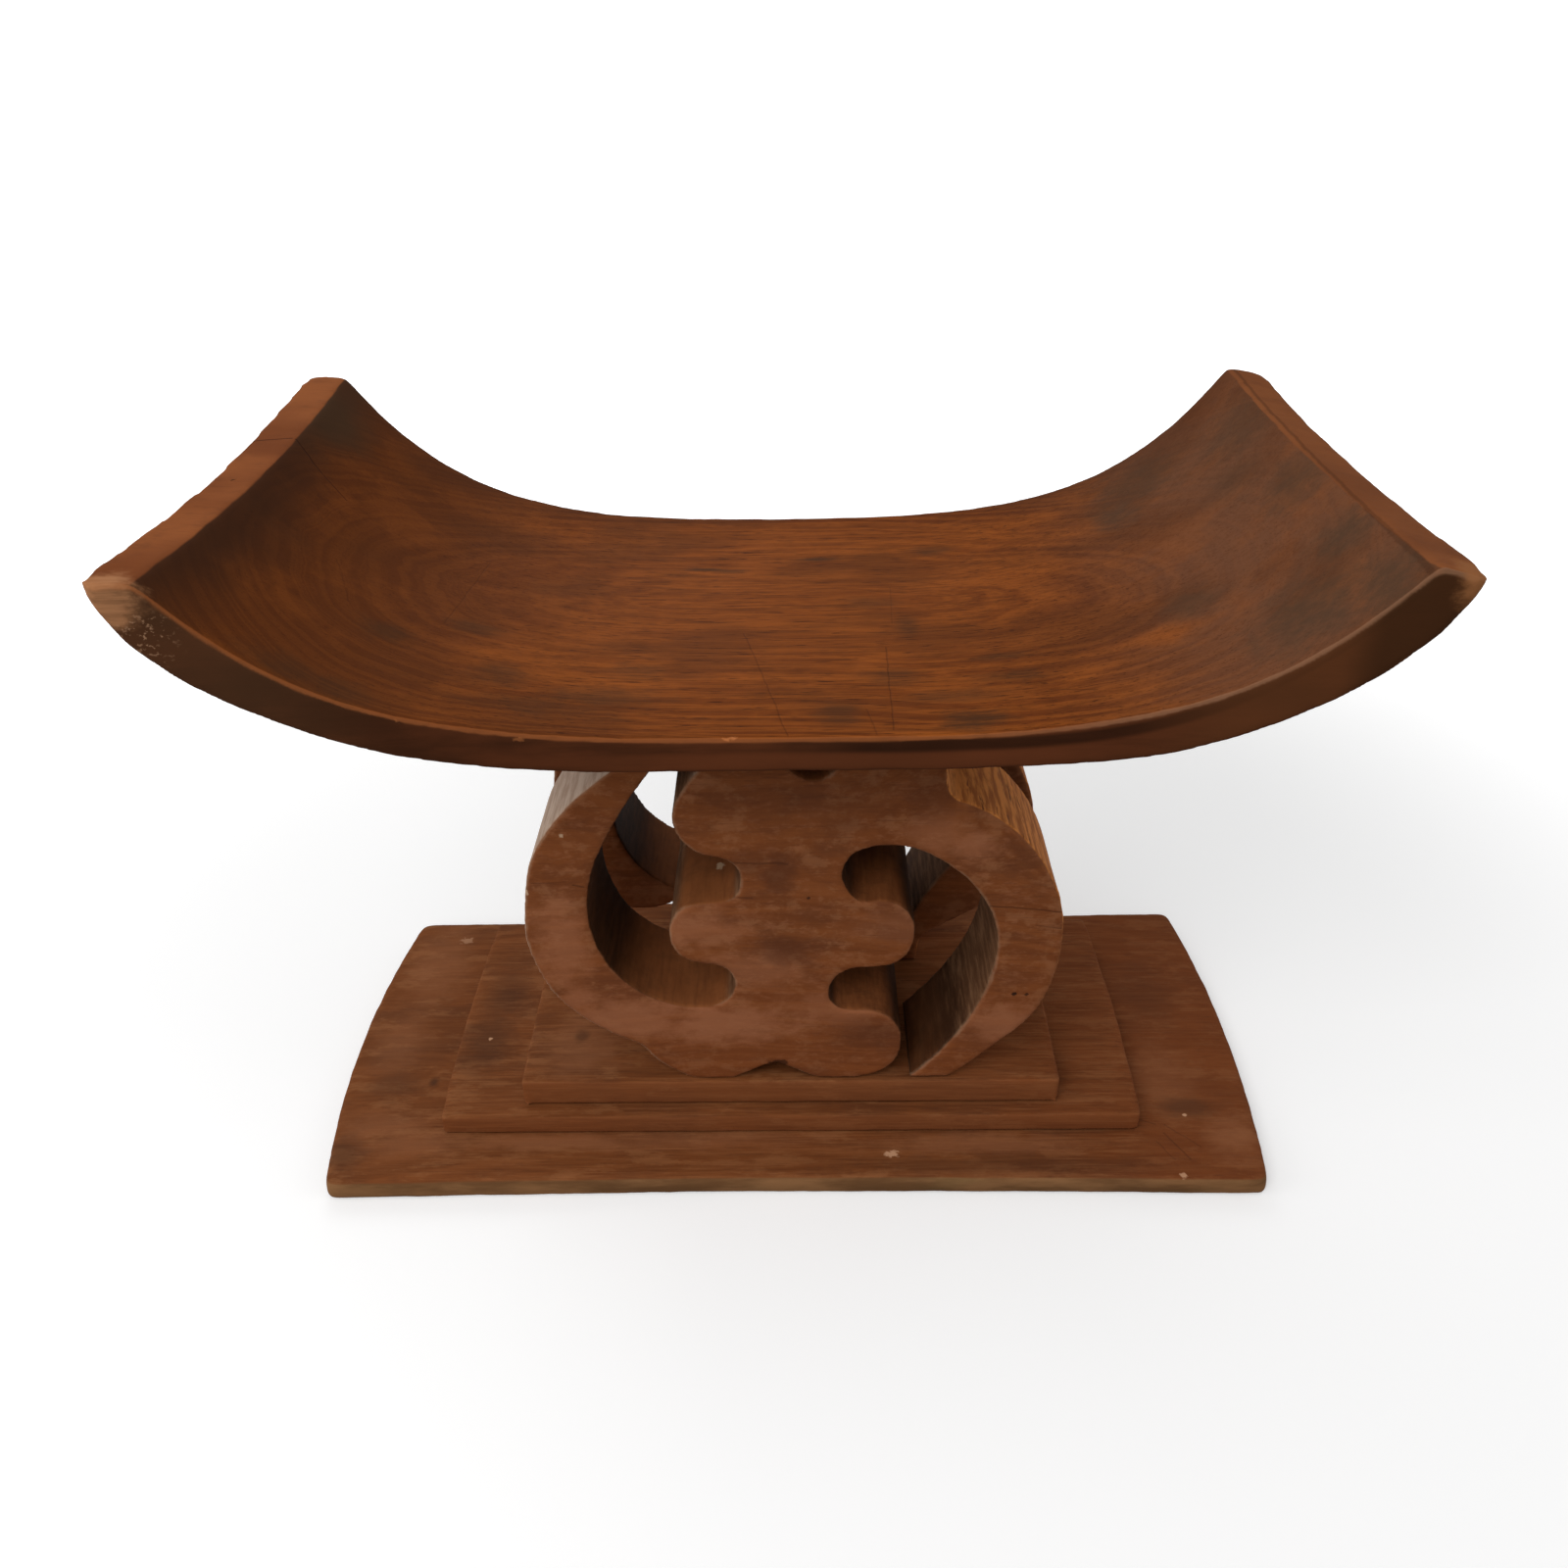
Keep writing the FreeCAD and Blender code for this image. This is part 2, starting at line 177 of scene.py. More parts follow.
class Finish:
    def __init__(self, name, mirror=0.0):
        self.material = bpy.data.materials.new(name)
        self.material.use_nodes = True
        self.tree = self.material.node_tree
        self.shader = self.tree.nodes["Principled BSDF"]
        self.shader.inputs["Specular IOR Level"].default_value = mirror
        place = self.node("ShaderNodeTexCoord", {}, {}, "Object")
        self.spot = place * (1 / MM)
        self.x, self.y, self.z = self.spot.parts()
        facing = self.node("ShaderNodeNewGeometry", {}, {}, "Normal")
        self.facing_x, self.facing_y, self.facing_z = facing.parts()

    def feed(self, socket, value):
        if isinstance(value, Flow):
            self.tree.links.new(value.socket, socket)
        elif isinstance(value, tuple) and len(socket.default_value) == 4:
            socket.default_value = (*value[:3], 1)
        else:
            socket.default_value = value

    def node(self, kind, settings, inputs, output=0):
        made = self.tree.nodes.new(kind)
        for name, value in settings.items():
            setattr(made, name, value)
        for name, value in inputs.items():
            self.feed(made.inputs[name], value)
        return Flow(self, made.outputs[output])

    def blend(self, factor, first, second):
        """Mixes two colours."""
        return self.node("ShaderNodeMix", {"data_type": "RGBA"},
                         {0: factor, 6: first, 7: second}, 2)

    def noise(self, size, detail=3, roughness=0.5, stretch=(1, 1, 1), offset=0):
        """Smooth noise whose patches are about size millimetres, times stretch."""
        shares = tuple(1 / (size * share) for share in stretch)
        place = self.spot * shares + (offset, offset, offset)
        return self.node("ShaderNodeTexNoise", {}, {
            "Vector": place, "Scale": 1.0, "Detail": detail, "Roughness": roughness}, "Fac")

    def lines(self, position, detail=4, roughness=0.6):
        """Irregular bands along one number."""
        return self.node("ShaderNodeTexNoise", {"noise_dimensions": "1D"}, {
            "W": position, "Scale": 1.0, "Detail": detail, "Roughness": roughness}, "Fac")

    def blot(self, centre, radii, ragged, edge, outline=None):
        """A patch round a place: 1 inside, 0 outside. Ragged is how far its outline strays
        and edge how wide it fades, both as shares of the radii."""
        shares = tuple(1 / radius for radius in radii)
        away = ((self.spot - centre) * shares).length()
        away = away + ((outline or self.ragged_noise) - 0.5) * (2 * ragged)
        return away.rise(1 + edge / 2, 1 - edge / 2)

    def blots(self, table, ragged, edge, outline=None):
        """The strongest of several patches: each row is a centre, radii and a strength."""
        whole = 0.0
        for centre, radii, strength in table:
            mark = self.blot(centre, radii, ragged, edge, outline) * strength
            whole = mark | whole
        return whole

    def chips(self, table):
        """Small splintered spots."""
        return self.blots(table, ragged=1.5, edge=0.6, outline=self.crumb_noise)

    def scratch(self, start, end, width, plane):
        """A thin line between two places: 1 on it, 0 beside it. It is laid out in a plane,
        whose two directions are 1 and the third 0, and marks whatever lies along the third."""
        along = tuple((b - a) * share for a, b, share in zip(start, end, plane))
        square = sum(part * part for part in along)
        from_start = (self.spot - start + self.wander) * plane
        share = self.node("ShaderNodeClamp", {},
                          {"Value": from_start.dot(along) * (1 / square)})
        nearest = self.node("ShaderNodeVectorMath", {"operation": "SCALE"},
                            {0: along, "Scale": share})
        return (from_start - nearest).length().rise(width, width * line_core)

    def scratches(self, table, plane):
        whole = 0.0
        for start, end, width, strength in table:
            whole = (self.scratch(start, end, width, plane) * strength) | whole
        return whole

    def attribute(self, name):
        return self.node("ShaderNodeAttribute", {"attribute_name": name}, {}, "Fac")

    def finish_off(self, colour, roughness, relief, strength, depth):
        """Feeds the shader. The relief is only what is finer than the mesh."""
        self.feed(self.shader.inputs["Base Color"], colour)
        self.feed(self.shader.inputs["Roughness"], roughness)
        bump = self.node("ShaderNodeBump", {}, {"Height": relief, "Strength": strength,
                                                "Distance": depth * MM}, "Normal")
        self.feed(self.shader.inputs["Normal"], bump)
        print(self.material.name, len(self.tree.nodes), "nodes")
        return self.material


# %% [markdown]
# ## Colours
# Colours are noted as they look on a screen, from 0 to 255, and the shader wants them as
# amounts of light. This is the usual formula between the two.
# %% Screen colour to light
def tone(*levels):
    shares = [level / 255 for level in levels]
    return tuple(s / 12.92 if s <= 0.04045 else ((s + 0.055) / 1.055) ** 2.4 for s in shares)


# %% [markdown]
# ## The log
# The grain on the photographed seat closes in long ovals at both wings. That is what growth
# rings do where a dished surface cuts them, and working back from the ovals, the log's heart
# runs along the stool, through the support, a third of the way down. So the rings here are
# distances from that line, bent a little by a slow noise. Fine vessels run along it.
# %% Growth rings and vessels
heart_height = 221
heart_back = 15
heart_bend = 0.0006
heart_slant = 0.044
ring_width = 4.6
heart_drift = 26
heart_ripple = 9
line_wander = 3.0


def grow(finish):
    """Gives the finish its rings, its vessels and the noises that its marks share."""
    finish.ragged_noise = finish.noise(9, detail=5, roughness=0.65, stretch=(1.6, 1, 1))
    finish.crumb_noise = finish.noise(2.2, detail=3, roughness=0.6, stretch=(1.4, 1, 1))
    finish.wander = finish.node("ShaderNodeTexNoise", {}, {
        "Vector": finish.spot, "Scale": 1 / 14, "Detail": 2.0}, "Color")
    finish.wander = finish.wander * line_wander - (line_wander / 2,) * 3
    drift = finish.noise(110, detail=3, stretch=(1.5, 1, 1))
    ripple = finish.noise(28, detail=4, stretch=(2.5, 1, 1), offset=5)
    heart_y = heart_back - finish.x * finish.x * heart_bend - finish.x * heart_slant
    across = finish.y - heart_y + (drift - 0.5) * heart_drift
    up = finish.z - heart_height + (ripple - 0.5) * heart_ripple
    radius = (across * across + up * up) ** 0.5
    finish.rings = finish.lines(radius / ring_width)
    finish.vessels = finish.noise(0.9, detail=2, stretch=(16, 1, 1))
    finish.fibres = finish.noise(1.5, detail=5, roughness=0.7, stretch=(30, 1, 1), offset=3)
    finish.streaks = finish.noise(4.5, detail=5, roughness=0.68, stretch=(16, 1, 1), offset=12)


# %% [markdown]
# ## Wear and painted sheen on the seat
# The top is rubbed to a warm orange in the middle, brightened there with a painted sheen,
# and grey with handling and a painted sheen towards the wings. Dark smudges lie where the
# rubbed skin has collected grime. Each row is a centre, radii and a strength, or for a crack
# its start, end, width and strength, all read off the photograph with the fitted camera.
# %% Marks on the seat
seat_smudges = [
    ((92, -133, 314), (13, 9, 9), 0.75), ((82, -107, 313), (22, 5, 9), 0.55),
    ((110, -69, 315), (17, 4, 9), 0.5), ((112, -92, 316), (14, 6, 9), 0.5),
    ((54, -84, 312), (13, 8, 9), 0.5), ((26, -123, 312), (9, 11, 9), 0.5),
    ((17, 73, 312), (12, 3, 9), 0.8), ((48, 8, 312), (13, 7, 9), 0.45),
    ((66, -24, 312), (5, 11, 9), 0.45), ((89, 82, 314), (12, 7, 9), 0.5),
    ((-89, -106, 314), (24, 9, 9), 0.55), ((-141, -92, 320), (13, 11, 12), 0.5),
    ((-201, -75, 336), (11, 9, 16), 0.6), ((-75, -76, 313), (15, 8, 9), 0.4),
    ((-48, 59, 312), (11, 2.5, 9), 0.85), ((-34, 56, 312), (9, 2.5, 9), 0.6),
    ((-226, -142, 350), (20, 9, 14), 0.5), ((-205, -142, 339), (16, 8, 14), 0.5),
    ((-163, -45, 324), (13, 7, 10), 0.5), ((-120, -120, 316), (40, 8, 10), 0.4)]
# grey patches: the grey of handling together with a painted sheen on the right wing
seat_handled_and_sheen_grey = [
    ((266, -84, 385), (14, 15, 16), 0.7), ((268, -9, 387), (16, 20, 18), 0.6),
    ((262, 85, 383), (22, 26, 22), 0.5), ((268, -139, 385), (18, 20, 18), 0.7),
    ((197, 82, 335), (12, 20, 14), 0.6), ((243, -120, 363), (26, 24, 22), 0.7),
    ((207, -59, 340), (13, 14, 14), 0.5), ((215, 110, 346), (26, 26, 20), 0.5),
    ((250, 40, 370), (14, 22, 16), 0.4)]
# bright patches: the polished middle together with a painted sheen
seat_polish_and_sheen = [
    ((-149, -69, 321), (12, 8, 9), 0.6), ((-70, -123, 313), (14, 7, 9), 0.5),
    ((188, -78, 332), (18, 8, 12), 0.7), ((140, -47, 320), (20, 14, 12), 0.6),
    ((130, 29, 318), (34, 22, 12), 0.5), ((0, 0, 312), (125, 95, 30), 0.6),
    ((-70, -60, 312), (90, 60, 20), 0.5), ((-50, 104, 312), (110, 28, 20), 0.6),
    ((60, 90, 312), (110, 24, 20), 0.6)]
seat_cracks = [
    ((-300, 44, 398), (-276, 52, 397), 0.8, 0.9), ((-274, 52, 394), (-262, 44, 381), 0.7, 0.8),
    ((-262, 44, 381), (-246, 35, 366), 0.6, 0.7), ((-22, -30, 312), (2, -143, 312), 0.55, 0.35),
    ((53, -50, 312), (52, -139, 312), 0.55, 0.42),
    ((-171, 38, 326), (-178, -47, 328), 0.6, 0.25),
    ((-235, -28, 354), (-222, -60, 347), 0.6, 0.2), ((60, 30, 312), (58, -20, 312), 0.55, 0.2),
    ((40, -118, 312), (44, -143, 312), 0.6, 0.3),
    ((130, -110, 317), (150, -118, 320), 0.8, 0.4)]
seat_chips = [
    ((-25, -145, 312), (3.4, 1.4, 1.4), 0.8), ((-178, -152, 326), (2, 1.3, 1.3), 0.4),
    ((-123, -149, 314), (2.6, 1.2, 1.2), 0.35)]

# %% [markdown]
# ## The seat's top
# A finish grows in thin layers, and every `blend` is one: how much of it, what lies below,
# and its colour. Over warm brown wood with darker rings come a darker left wing and a right
# one greyed with a painted sheen, the rubbed orange middle brightened with a painted sheen,
# streaks and thread-thin vessels along the grain, and last the grime, the grey of handling
# with a painted sheen, and the smudges.
# %% The seat's top
ring_dark = tone(104, 51, 19)
ring_light = tone(130, 68, 25)
left_wing_brown = tone(87, 46, 21)
right_wing_sheen_grey = tone(108, 71, 50)
rubbed_orange = tone(156, 84, 32)
polish_and_sheen_orange = tone(158, 84, 30)
mottle_brown = tone(84, 46, 22)
streak_brown = tone(82, 42, 18)
fibre_brown = tone(76, 39, 17)
vessel_black = tone(46, 24, 14)
end_umber = tone(58, 35, 22)
end_olive = tone(66, 50, 35)
back_edge_brown = tone(78, 44, 26)
handled_and_sheen_grey = tone(74, 57, 43)
smudge_brown = tone(64, 43, 27)


def seat_top_colour(wood, mottle):
    left = (0 - wood.x).rise(60, 230)
    right = wood.x.rise(120, 240)
    plain = 1 - (left | right) * 0.6
    rubbed = wood.noise(34, detail=5, roughness=0.62, stretch=(1.8, 1, 1), offset=17)
    colour = wood.blend(wood.rings.rise(0.4, 0.6), ring_dark, ring_light)
    colour = wood.blend(left * 0.75, colour, left_wing_brown)
    # painted sheen: the right wing is greyed as if light from the left shone off it
    colour = wood.blend(right * 0.85, colour, right_wing_sheen_grey)
    colour = wood.blend(rubbed.rise(0.48, 0.64) * plain * 0.4, colour, rubbed_orange)
    # polish and a painted sheen brighten the middle of the top
    colour = wood.blend(wood.blots(seat_polish_and_sheen, 1.0, 1.5) * 0.6, colour, polish_and_sheen_orange)
    colour = wood.blend(mottle.rise(0.48, 0.68) * 0.45, colour, mottle_brown)
    colour = wood.blend(wood.streaks.rise(0.46, 0.66) * plain * 0.4, colour, streak_brown)
    colour = wood.blend(wood.fibres.rise(0.5, 0.64) * plain * 0.5, colour, fibre_brown)
    colour = wood.blend(wood.vessels.rise(0.6, 0.7) * plain * 0.75, colour, vessel_black)
    end_strip = (0 - wood.x + (mottle - 0.5) * 40).rise(244, 274)
    olive = wood.y.rise(20, 110)
    strip_colour = wood.blend(olive, end_umber, end_olive)
    colour = wood.blend(end_strip * 0.8, colour, strip_colour)
    back_shade = (wood.y + (mottle - 0.5) * 30).rise(110, 155) * abs(wood.x).rise(50, 150)
    colour = wood.blend(back_shade * 0.5, colour, back_edge_brown)
    stained = wood.streaks.rise(0.3, 0.6) * 0.3 + 0.7
    # the grey of handling with a painted sheen
    colour = wood.blend(wood.blots(seat_handled_and_sheen_grey, 1.1, 1.6) * stained, colour, handled_and_sheen_grey)
    smudges = wood.blots(seat_smudges, 1.1, 1.5) * stained
    return wood.blend(smudges, colour, smudge_brown)


# %% [markdown]
# ## The seat's sides
# The front and back faces are dark with grime and painted shade, with a painted shadow right
# under the rubbed edge, and redder lower down, where a painted light falls. How far down is
# measured from the rim, which rises towards the wings with the fourth power of the distance.
# %% The seat's sides
seat_middle_height = 312
seat_wing_reach = 277
seat_wing_rise = 85


def rim_height(x):
    """The height of the seat's rim at a place along the seat."""
    return (abs(x) / seat_wing_reach) ** 4 * seat_wing_rise + seat_middle_height


grime_and_shade_dark = tone(60, 33, 19)
grime_and_shade_light = tone(82, 44, 25)
grime_streak = tone(50, 28, 16)
low_red_brown = tone(100, 54, 31)
lip_shadow = tone(40, 22, 13)
left_side_grey = tone(72, 48, 31)
right_side_brown = tone(98, 58, 33)
right_end_umber = tone(50, 31, 17)


def seat_side_colour(wood):
    below = rim_height(wood.x) - wood.z
    grime_and_shade = wood.noise(30, detail=4, stretch=(2.5, 1, 1), offset=2)
    # the faces' dark brown is grime and painted shade together
    colour = wood.blend(grime_and_shade.rise(0.35, 0.65), grime_and_shade_dark, grime_and_shade_light)
    colour = wood.blend(wood.streaks.rise(0.45, 0.7) * 0.4, colour, grime_streak)
    lit = below.rise(6, 10) * wood.x.rise(-150, -20) * wood.x.rise(200, 90)
    # painted light on the lower part of the front face
    colour = wood.blend(lit * 0.6, colour, low_red_brown)
    band = below.rise(0.5, 2.5) * below.rise(9, 6) * wood.x.rise(15, 40)
    # painted shadow right under the rubbed lip
    colour = wood.blend(band * 0.75, colour, lip_shadow)
    left_end = (0 - wood.x).rise(170, 250)
    colour = wood.blend(left_end * 0.6, colour, left_side_grey)
    colour = wood.blend(wood.x.rise(150, 220) * 0.6, colour, right_side_brown)
    return wood.blend(wood.x.rise(245, 265) * 0.7, colour, right_end_umber)


# %% [markdown]
# ## The seat's finish
# A surface's facing says which of the two colours it gets. Then come the end faces, paler as
# unpolished end grain and with painted light, as they face straight up, a painted highlight
# on the rubbed lip of the front edge, the scuffed tips, and chips and cracks. What is polished
# is also a little glossier. Bump carries only what is finer than the mesh: the vessels and
# cracks.
# %% The seat's finish
left_tip_spot = (-296, -158, 391), (17, 12, 17)
right_tip_spot = (299, -156, 390), (11, 14, 12)
scuffed_spot = (-279, -160, 373), (13, 8, 12)
polished_spot = (0, 0, 312), (190, 150, 60)
underside_brown = tone(74, 42, 25)
end_face_dark = tone(122, 66, 34)
end_face_light = tone(150, 86, 46)
end_face_fibre = tone(104, 60, 38)
right_end_face = tone(116, 72, 45)
end_face_stain = tone(100, 58, 36)
rim_line_brown = tone(60, 36, 22)
lip_highlight_orange = tone(152, 88, 48)
lip_highlight_grey = tone(142, 102, 76)
worn_orange = tone(150, 88, 50)
left_tip_tan = tone(172, 120, 82)
right_tip_tan = tone(150, 98, 60)
scuff_grey = tone(168, 128, 98)
chip_orange = tone(178, 108, 62)
crack_black = tone(44, 23, 13)


def seat_finish():
    wood = Finish("seat_wood", 0.015)
    grow(wood)
    edge = wood.attribute("edge")
    mottle = wood.noise(60, detail=4, stretch=(1.6, 1, 1), offset=9)
    top = wood.facing_z.rise(0.25, 0.5)
    upright = abs(wood.facing_y).rise(0.45, 0.75)
    rim_face = wood.facing_z.rise(0.84, 0.93) * abs(wood.x).rise(252, 266)

    colour = wood.blend(upright, seat_top_colour(wood, mottle), seat_side_colour(wood))
    underside = wood.facing_z.rise(-0.2, -0.5)
    colour = wood.blend(underside * 0.6, colour, underside_brown)
    # end faces: unpolished end grain, also paler with painted light since they face straight up
    raw_and_lit_end = wood.blend(mottle.rise(0.35, 0.7), end_face_dark, end_face_light)
    raw_and_lit_end = wood.blend(wood.fibres.rise(0.5, 0.8) * 0.35, raw_and_lit_end, end_face_fibre)
    raw_and_lit_end = wood.blend(wood.x.rise(-20, 20) * 0.45, raw_and_lit_end, right_end_face)
    raw_and_lit_end = wood.blend(wood.ragged_noise.rise(0.5, 0.7) * 0.3, raw_and_lit_end, end_face_stain)
    colour = wood.blend(rim_face * 0.9, colour, raw_and_lit_end)
    rim_line = abs(wood.x + wood.ragged_noise * 3 - 279).rise(1.6, 0.6) * top
    colour = wood.blend(rim_line * 0.4, colour, rim_line_brown)
    # painted highlight along the rubbed front top edge, orange on the left and grey on the
    # right
    lip_highlight = wood.facing_z.rise(0.2, 0.5) * wood.facing_y.rise(-0.25, -0.45)
    lip_highlight_colour = wood.blend(wood.x.rise(60, 200), lip_highlight_orange, lip_highlight_grey)
    colour = wood.blend(lip_highlight * (0.35 + wood.ragged_noise * 0.4), colour, lip_highlight_colour)

    worn = edge.rise(0.66, 0.86) * wood.ragged_noise.rise(0.3, 0.55)
    colour = wood.blend(worn * 0.5 * (1 - underside), colour, worn_orange)
    left_tip = wood.blot(*left_tip_spot, 0.9, 0.8)
    right_tip = wood.blot(*right_tip_spot, 0.8, 0.8)
    scuffed = wood.streaks.rise(0.3, 0.7) * 0.5 + 0.4
    colour = wood.blend(left_tip * scuffed, colour, left_tip_tan)
    colour = wood.blend(right_tip * 0.75, colour, right_tip_tan)
    scuffs = wood.blot(*scuffed_spot, 0.7, 1.2)
    scuffs = scuffs * wood.crumb_noise.rise(0.56, 0.64) * wood.ragged_noise.rise(0.4, 0.55)
    colour = wood.blend(scuffs * 0.6, colour, scuff_grey)
    colour = wood.blend(wood.chips(seat_chips), colour, chip_orange)
    cracks = wood.scratches(seat_cracks, (1, 1, 0)) * top
    colour = wood.blend(cracks * 0.85, colour, crack_black)

    polish = top * (1 - rim_face) * wood.blot(*polished_spot, 0.3, 1.4)
    relief = wood.vessels * -0.5 + wood.ragged_noise * 0.25 + wood.fibres * -0.5 - cracks * 2.5
    return wood.finish_off(colour, 0.66 - polish * 0.2 + wood.fibres * 0.1, relief, 0.3, 0.3)


seat_wood = seat_finish()

# %% [markdown]
# ## Wear on the support
# The same kinds of rows as for the seat: dusty pale patches, grimy dark ones, pale flecks,
# dark pits and fine cracks, all on the front face of the carving.
# %% Marks on the support
support_cracks = [
    ((112, -91, 174), (152, -91, 169), 0.6, 0.5),
    ((-141, -91, 191), (-122, -91, 192), 0.6, 0.25),
    ((-118, -91, 190), (-112, -91, 189), 0.7, 0.45),
    ((138, -91, 160), (152, -91, 158), 0.6, 0.3),
    ((-60, -91, 205), (0, -91, 203), 0.8, 0.35), ((-75, -91, 181), (-20, -91, 180), 0.8, 0.3)]
support_pale = [
    ((-95, -91, 95), (34, 9, 13), 0.6), ((-40, -91, 90), (36, 7, 13), 0.65),
    ((99, -91, 214), (13, 4, 8), 0.6), ((125, -91, 88), (20, 12, 12), 0.55),
    ((82, -91, 222), (16, 8, 12), 0.4), ((30, -91, 102), (26, 16, 12), 0.4),
    ((-60, -91, 160), (34, 16, 12), 0.5), ((-20, -91, 130), (26, 10, 12), 0.4),
    ((-123, -91, 109), (10, 9, 8), 0.5), ((-128, -91, 150), (14, 9, 30), 0.5),
    ((70, -91, 160), (30, 9, 10), 0.35)]
support_dark = [
    ((-5, -91, 196), (10, 9, 14), 0.6), ((0, -91, 144), (14, 9, 9), 0.45),
    ((10, -91, 245), (60, 20, 16), 0.35), ((-18, -91, 204), (16, 9, 8), 0.4),
    ((60, -91, 160), (16, 12, 10), 0.3), ((50, -91, 80), (24, 10, 12), 0.4),
    ((75, -91, 245), (16, 12, 14), 0.4), ((30, -91, 229), (14, 9, 8), 0.35)]
support_flecks = [
    ((-39, -55, 177), (2, 3, 1.4), 0.8), ((-121, -91, 222.6), (1.2, 2, 1.2), 0.8),
    ((-144, -91, 185), (1, 2, 2), 0.7), ((-45, 21, 150), (2, 2, 2), 0.5)]
support_pits = [
    ((129, -91, 111), (1.3, 2, 1.3), 0.9), ((136, -91, 111), (1.1, 2, 1.1), 0.8),
    ((11, -91, 180), (1.2, 2, 1.2), 0.8), ((-7, -91, 59), (5, 3, 2), 0.7)]

# %% [markdown]
# ## The walls of the carving
# Outside, the walls that look to the left get a pale grey painted light, and those that look
# to the right an oranger painted light, both darker towards the bottom. Inside the openings
# the walls are dark with grime and painted shade: those that look to the left are greyer with
# painted light and darkest with painted shade at the bottom, and the floors are lighter with
# painted light. A wall's distance from the middle of the symbol, and whether it faces away
# from it, tell outside from inside.
# %% The walls of the carving
support_middle = (3, 0, 156)
left_lit_pale_dark = tone(176, 148, 128)
left_lit_pale_bright = tone(204, 180, 160)
amber_dark = tone(160, 92, 42)
amber_light = tone(216, 136, 68)
amber_line = tone(58, 32, 18)
low_amber = tone(112, 64, 34)
low_left_lit_pale = tone(120, 92, 72)
bay_grey_dark = tone(92, 62, 41)
bay_grey_light = tone(128, 92, 65)
bay_shade_black = tone(40, 24, 14)
bay_brown_dark = tone(49, 28, 13)
bay_brown_light = tone(71, 41, 21)
bay_floor_dark = tone(108, 60, 30)
bay_floor_light = tone(124, 72, 38)
bay_floor_stain = tone(74, 42, 22)
left_floor_orange = tone(150, 90, 50)
bay_line = tone(48, 28, 15)


def support_wall_colour(wood):
    to_left = wood.facing_x.rise(0.25, -0.25)
    from_middle = ((wood.spot - support_middle) * (1, 0, 1)).length()
    outwards = wood.facing_x * wood.x + wood.facing_z * (wood.z - support_middle[2])
    outer = from_middle.rise(112, 120) * outwards.rise(-10, 20)
    across = wood.noise(4, detail=4, roughness=0.6, stretch=(1, 7, 1), offset=7)
    along = wood.noise(3, detail=3, roughness=0.6, stretch=(1, 10, 1), offset=14)
    # painted light: pale grey on outer walls that look to the left, orange on those that look
    # to the right
    pale = wood.blend(across.rise(0.35, 0.65), left_lit_pale_dark, left_lit_pale_bright)
    warm = wood.blend(across.rise(0.38, 0.62), amber_dark, amber_light)
    warm = wood.blend(along.rise(0.6, 0.68) * 0.8, warm, amber_line)
    outer_colour = wood.blend(to_left, warm, pale)
    # darker towards the bottom of the outer walls
    lower_darkening = (wood.z + (across - 0.5) * 30).rise(185, 135) * 0.45
    low_colour = wood.blend(to_left, low_amber, low_left_lit_pale)
    outer_colour = wood.blend(lower_darkening, outer_colour, low_colour)
    # painted light: inner walls that look to the left are paler grey
    grey = wood.blend(across.rise(0.4, 0.7), bay_grey_dark, bay_grey_light)
    # painted shade, darkest at the bottom of the openings
    low = (wood.z + (across - 0.5) * 40).rise(100, 74)
    grey = wood.blend(low * 0.85, grey, bay_shade_black)
    # grime and painted shade on the inner walls that look to the right
    dark = wood.blend(across.rise(0.4, 0.7), bay_brown_dark, bay_brown_light)
    inner_colour = wood.blend(to_left, dark, grey)
    # painted light: the openings' floors are lighter than their walls
    floor_part = wood.facing_z.rise(0.5, 0.9)
    floor_colour = wood.blend(across.rise(0.35, 0.65), bay_floor_dark, bay_floor_light)
    stain = wood.ragged_noise.rise(0.45, 0.7) * 0.5
    floor_colour = wood.blend(stain, floor_colour, bay_floor_stain)
    floor_colour = wood.blend(wood.x.rise(10, -10) * 0.35, floor_colour, left_floor_orange)
    inner_colour = wood.blend(floor_part, inner_colour, floor_colour)
    inner_colour = wood.blend(along.rise(0.5, 0.75) * 0.25, inner_colour, bay_line)
    return wood.blend(outer, inner_colour, outer_colour)


# %% [markdown]
# ## The support's finish
# The carved faces are dusty and reddish, with a pale painted highlight along the worn edges
# that face left, and a dark line at the foot, where the support stands on the base.
# %% The support's finish
face_ring_dark = tone(112, 61, 31)
face_ring_light = tone(126, 71, 37)
face_mottle = tone(90, 52, 33)
face_dust = tone(150, 99, 66)
face_speckle = tone(146, 92, 62)
face_fibre = tone(82, 44, 26)
face_vessel = tone(72, 39, 24)
face_low_red = tone(122, 65, 34)
pale_patch = tone(158, 101, 70)
dark_patch = tone(76, 42, 27)
face_worn_edge = tone(150, 98, 66)
left_edge_highlight_pale = tone(150, 122, 98)
face_fleck = tone(190, 158, 128)
pit_black = tone(34, 20, 13)
face_crack = tone(44, 24, 15)
foot_shadow = tone(48, 26, 16)


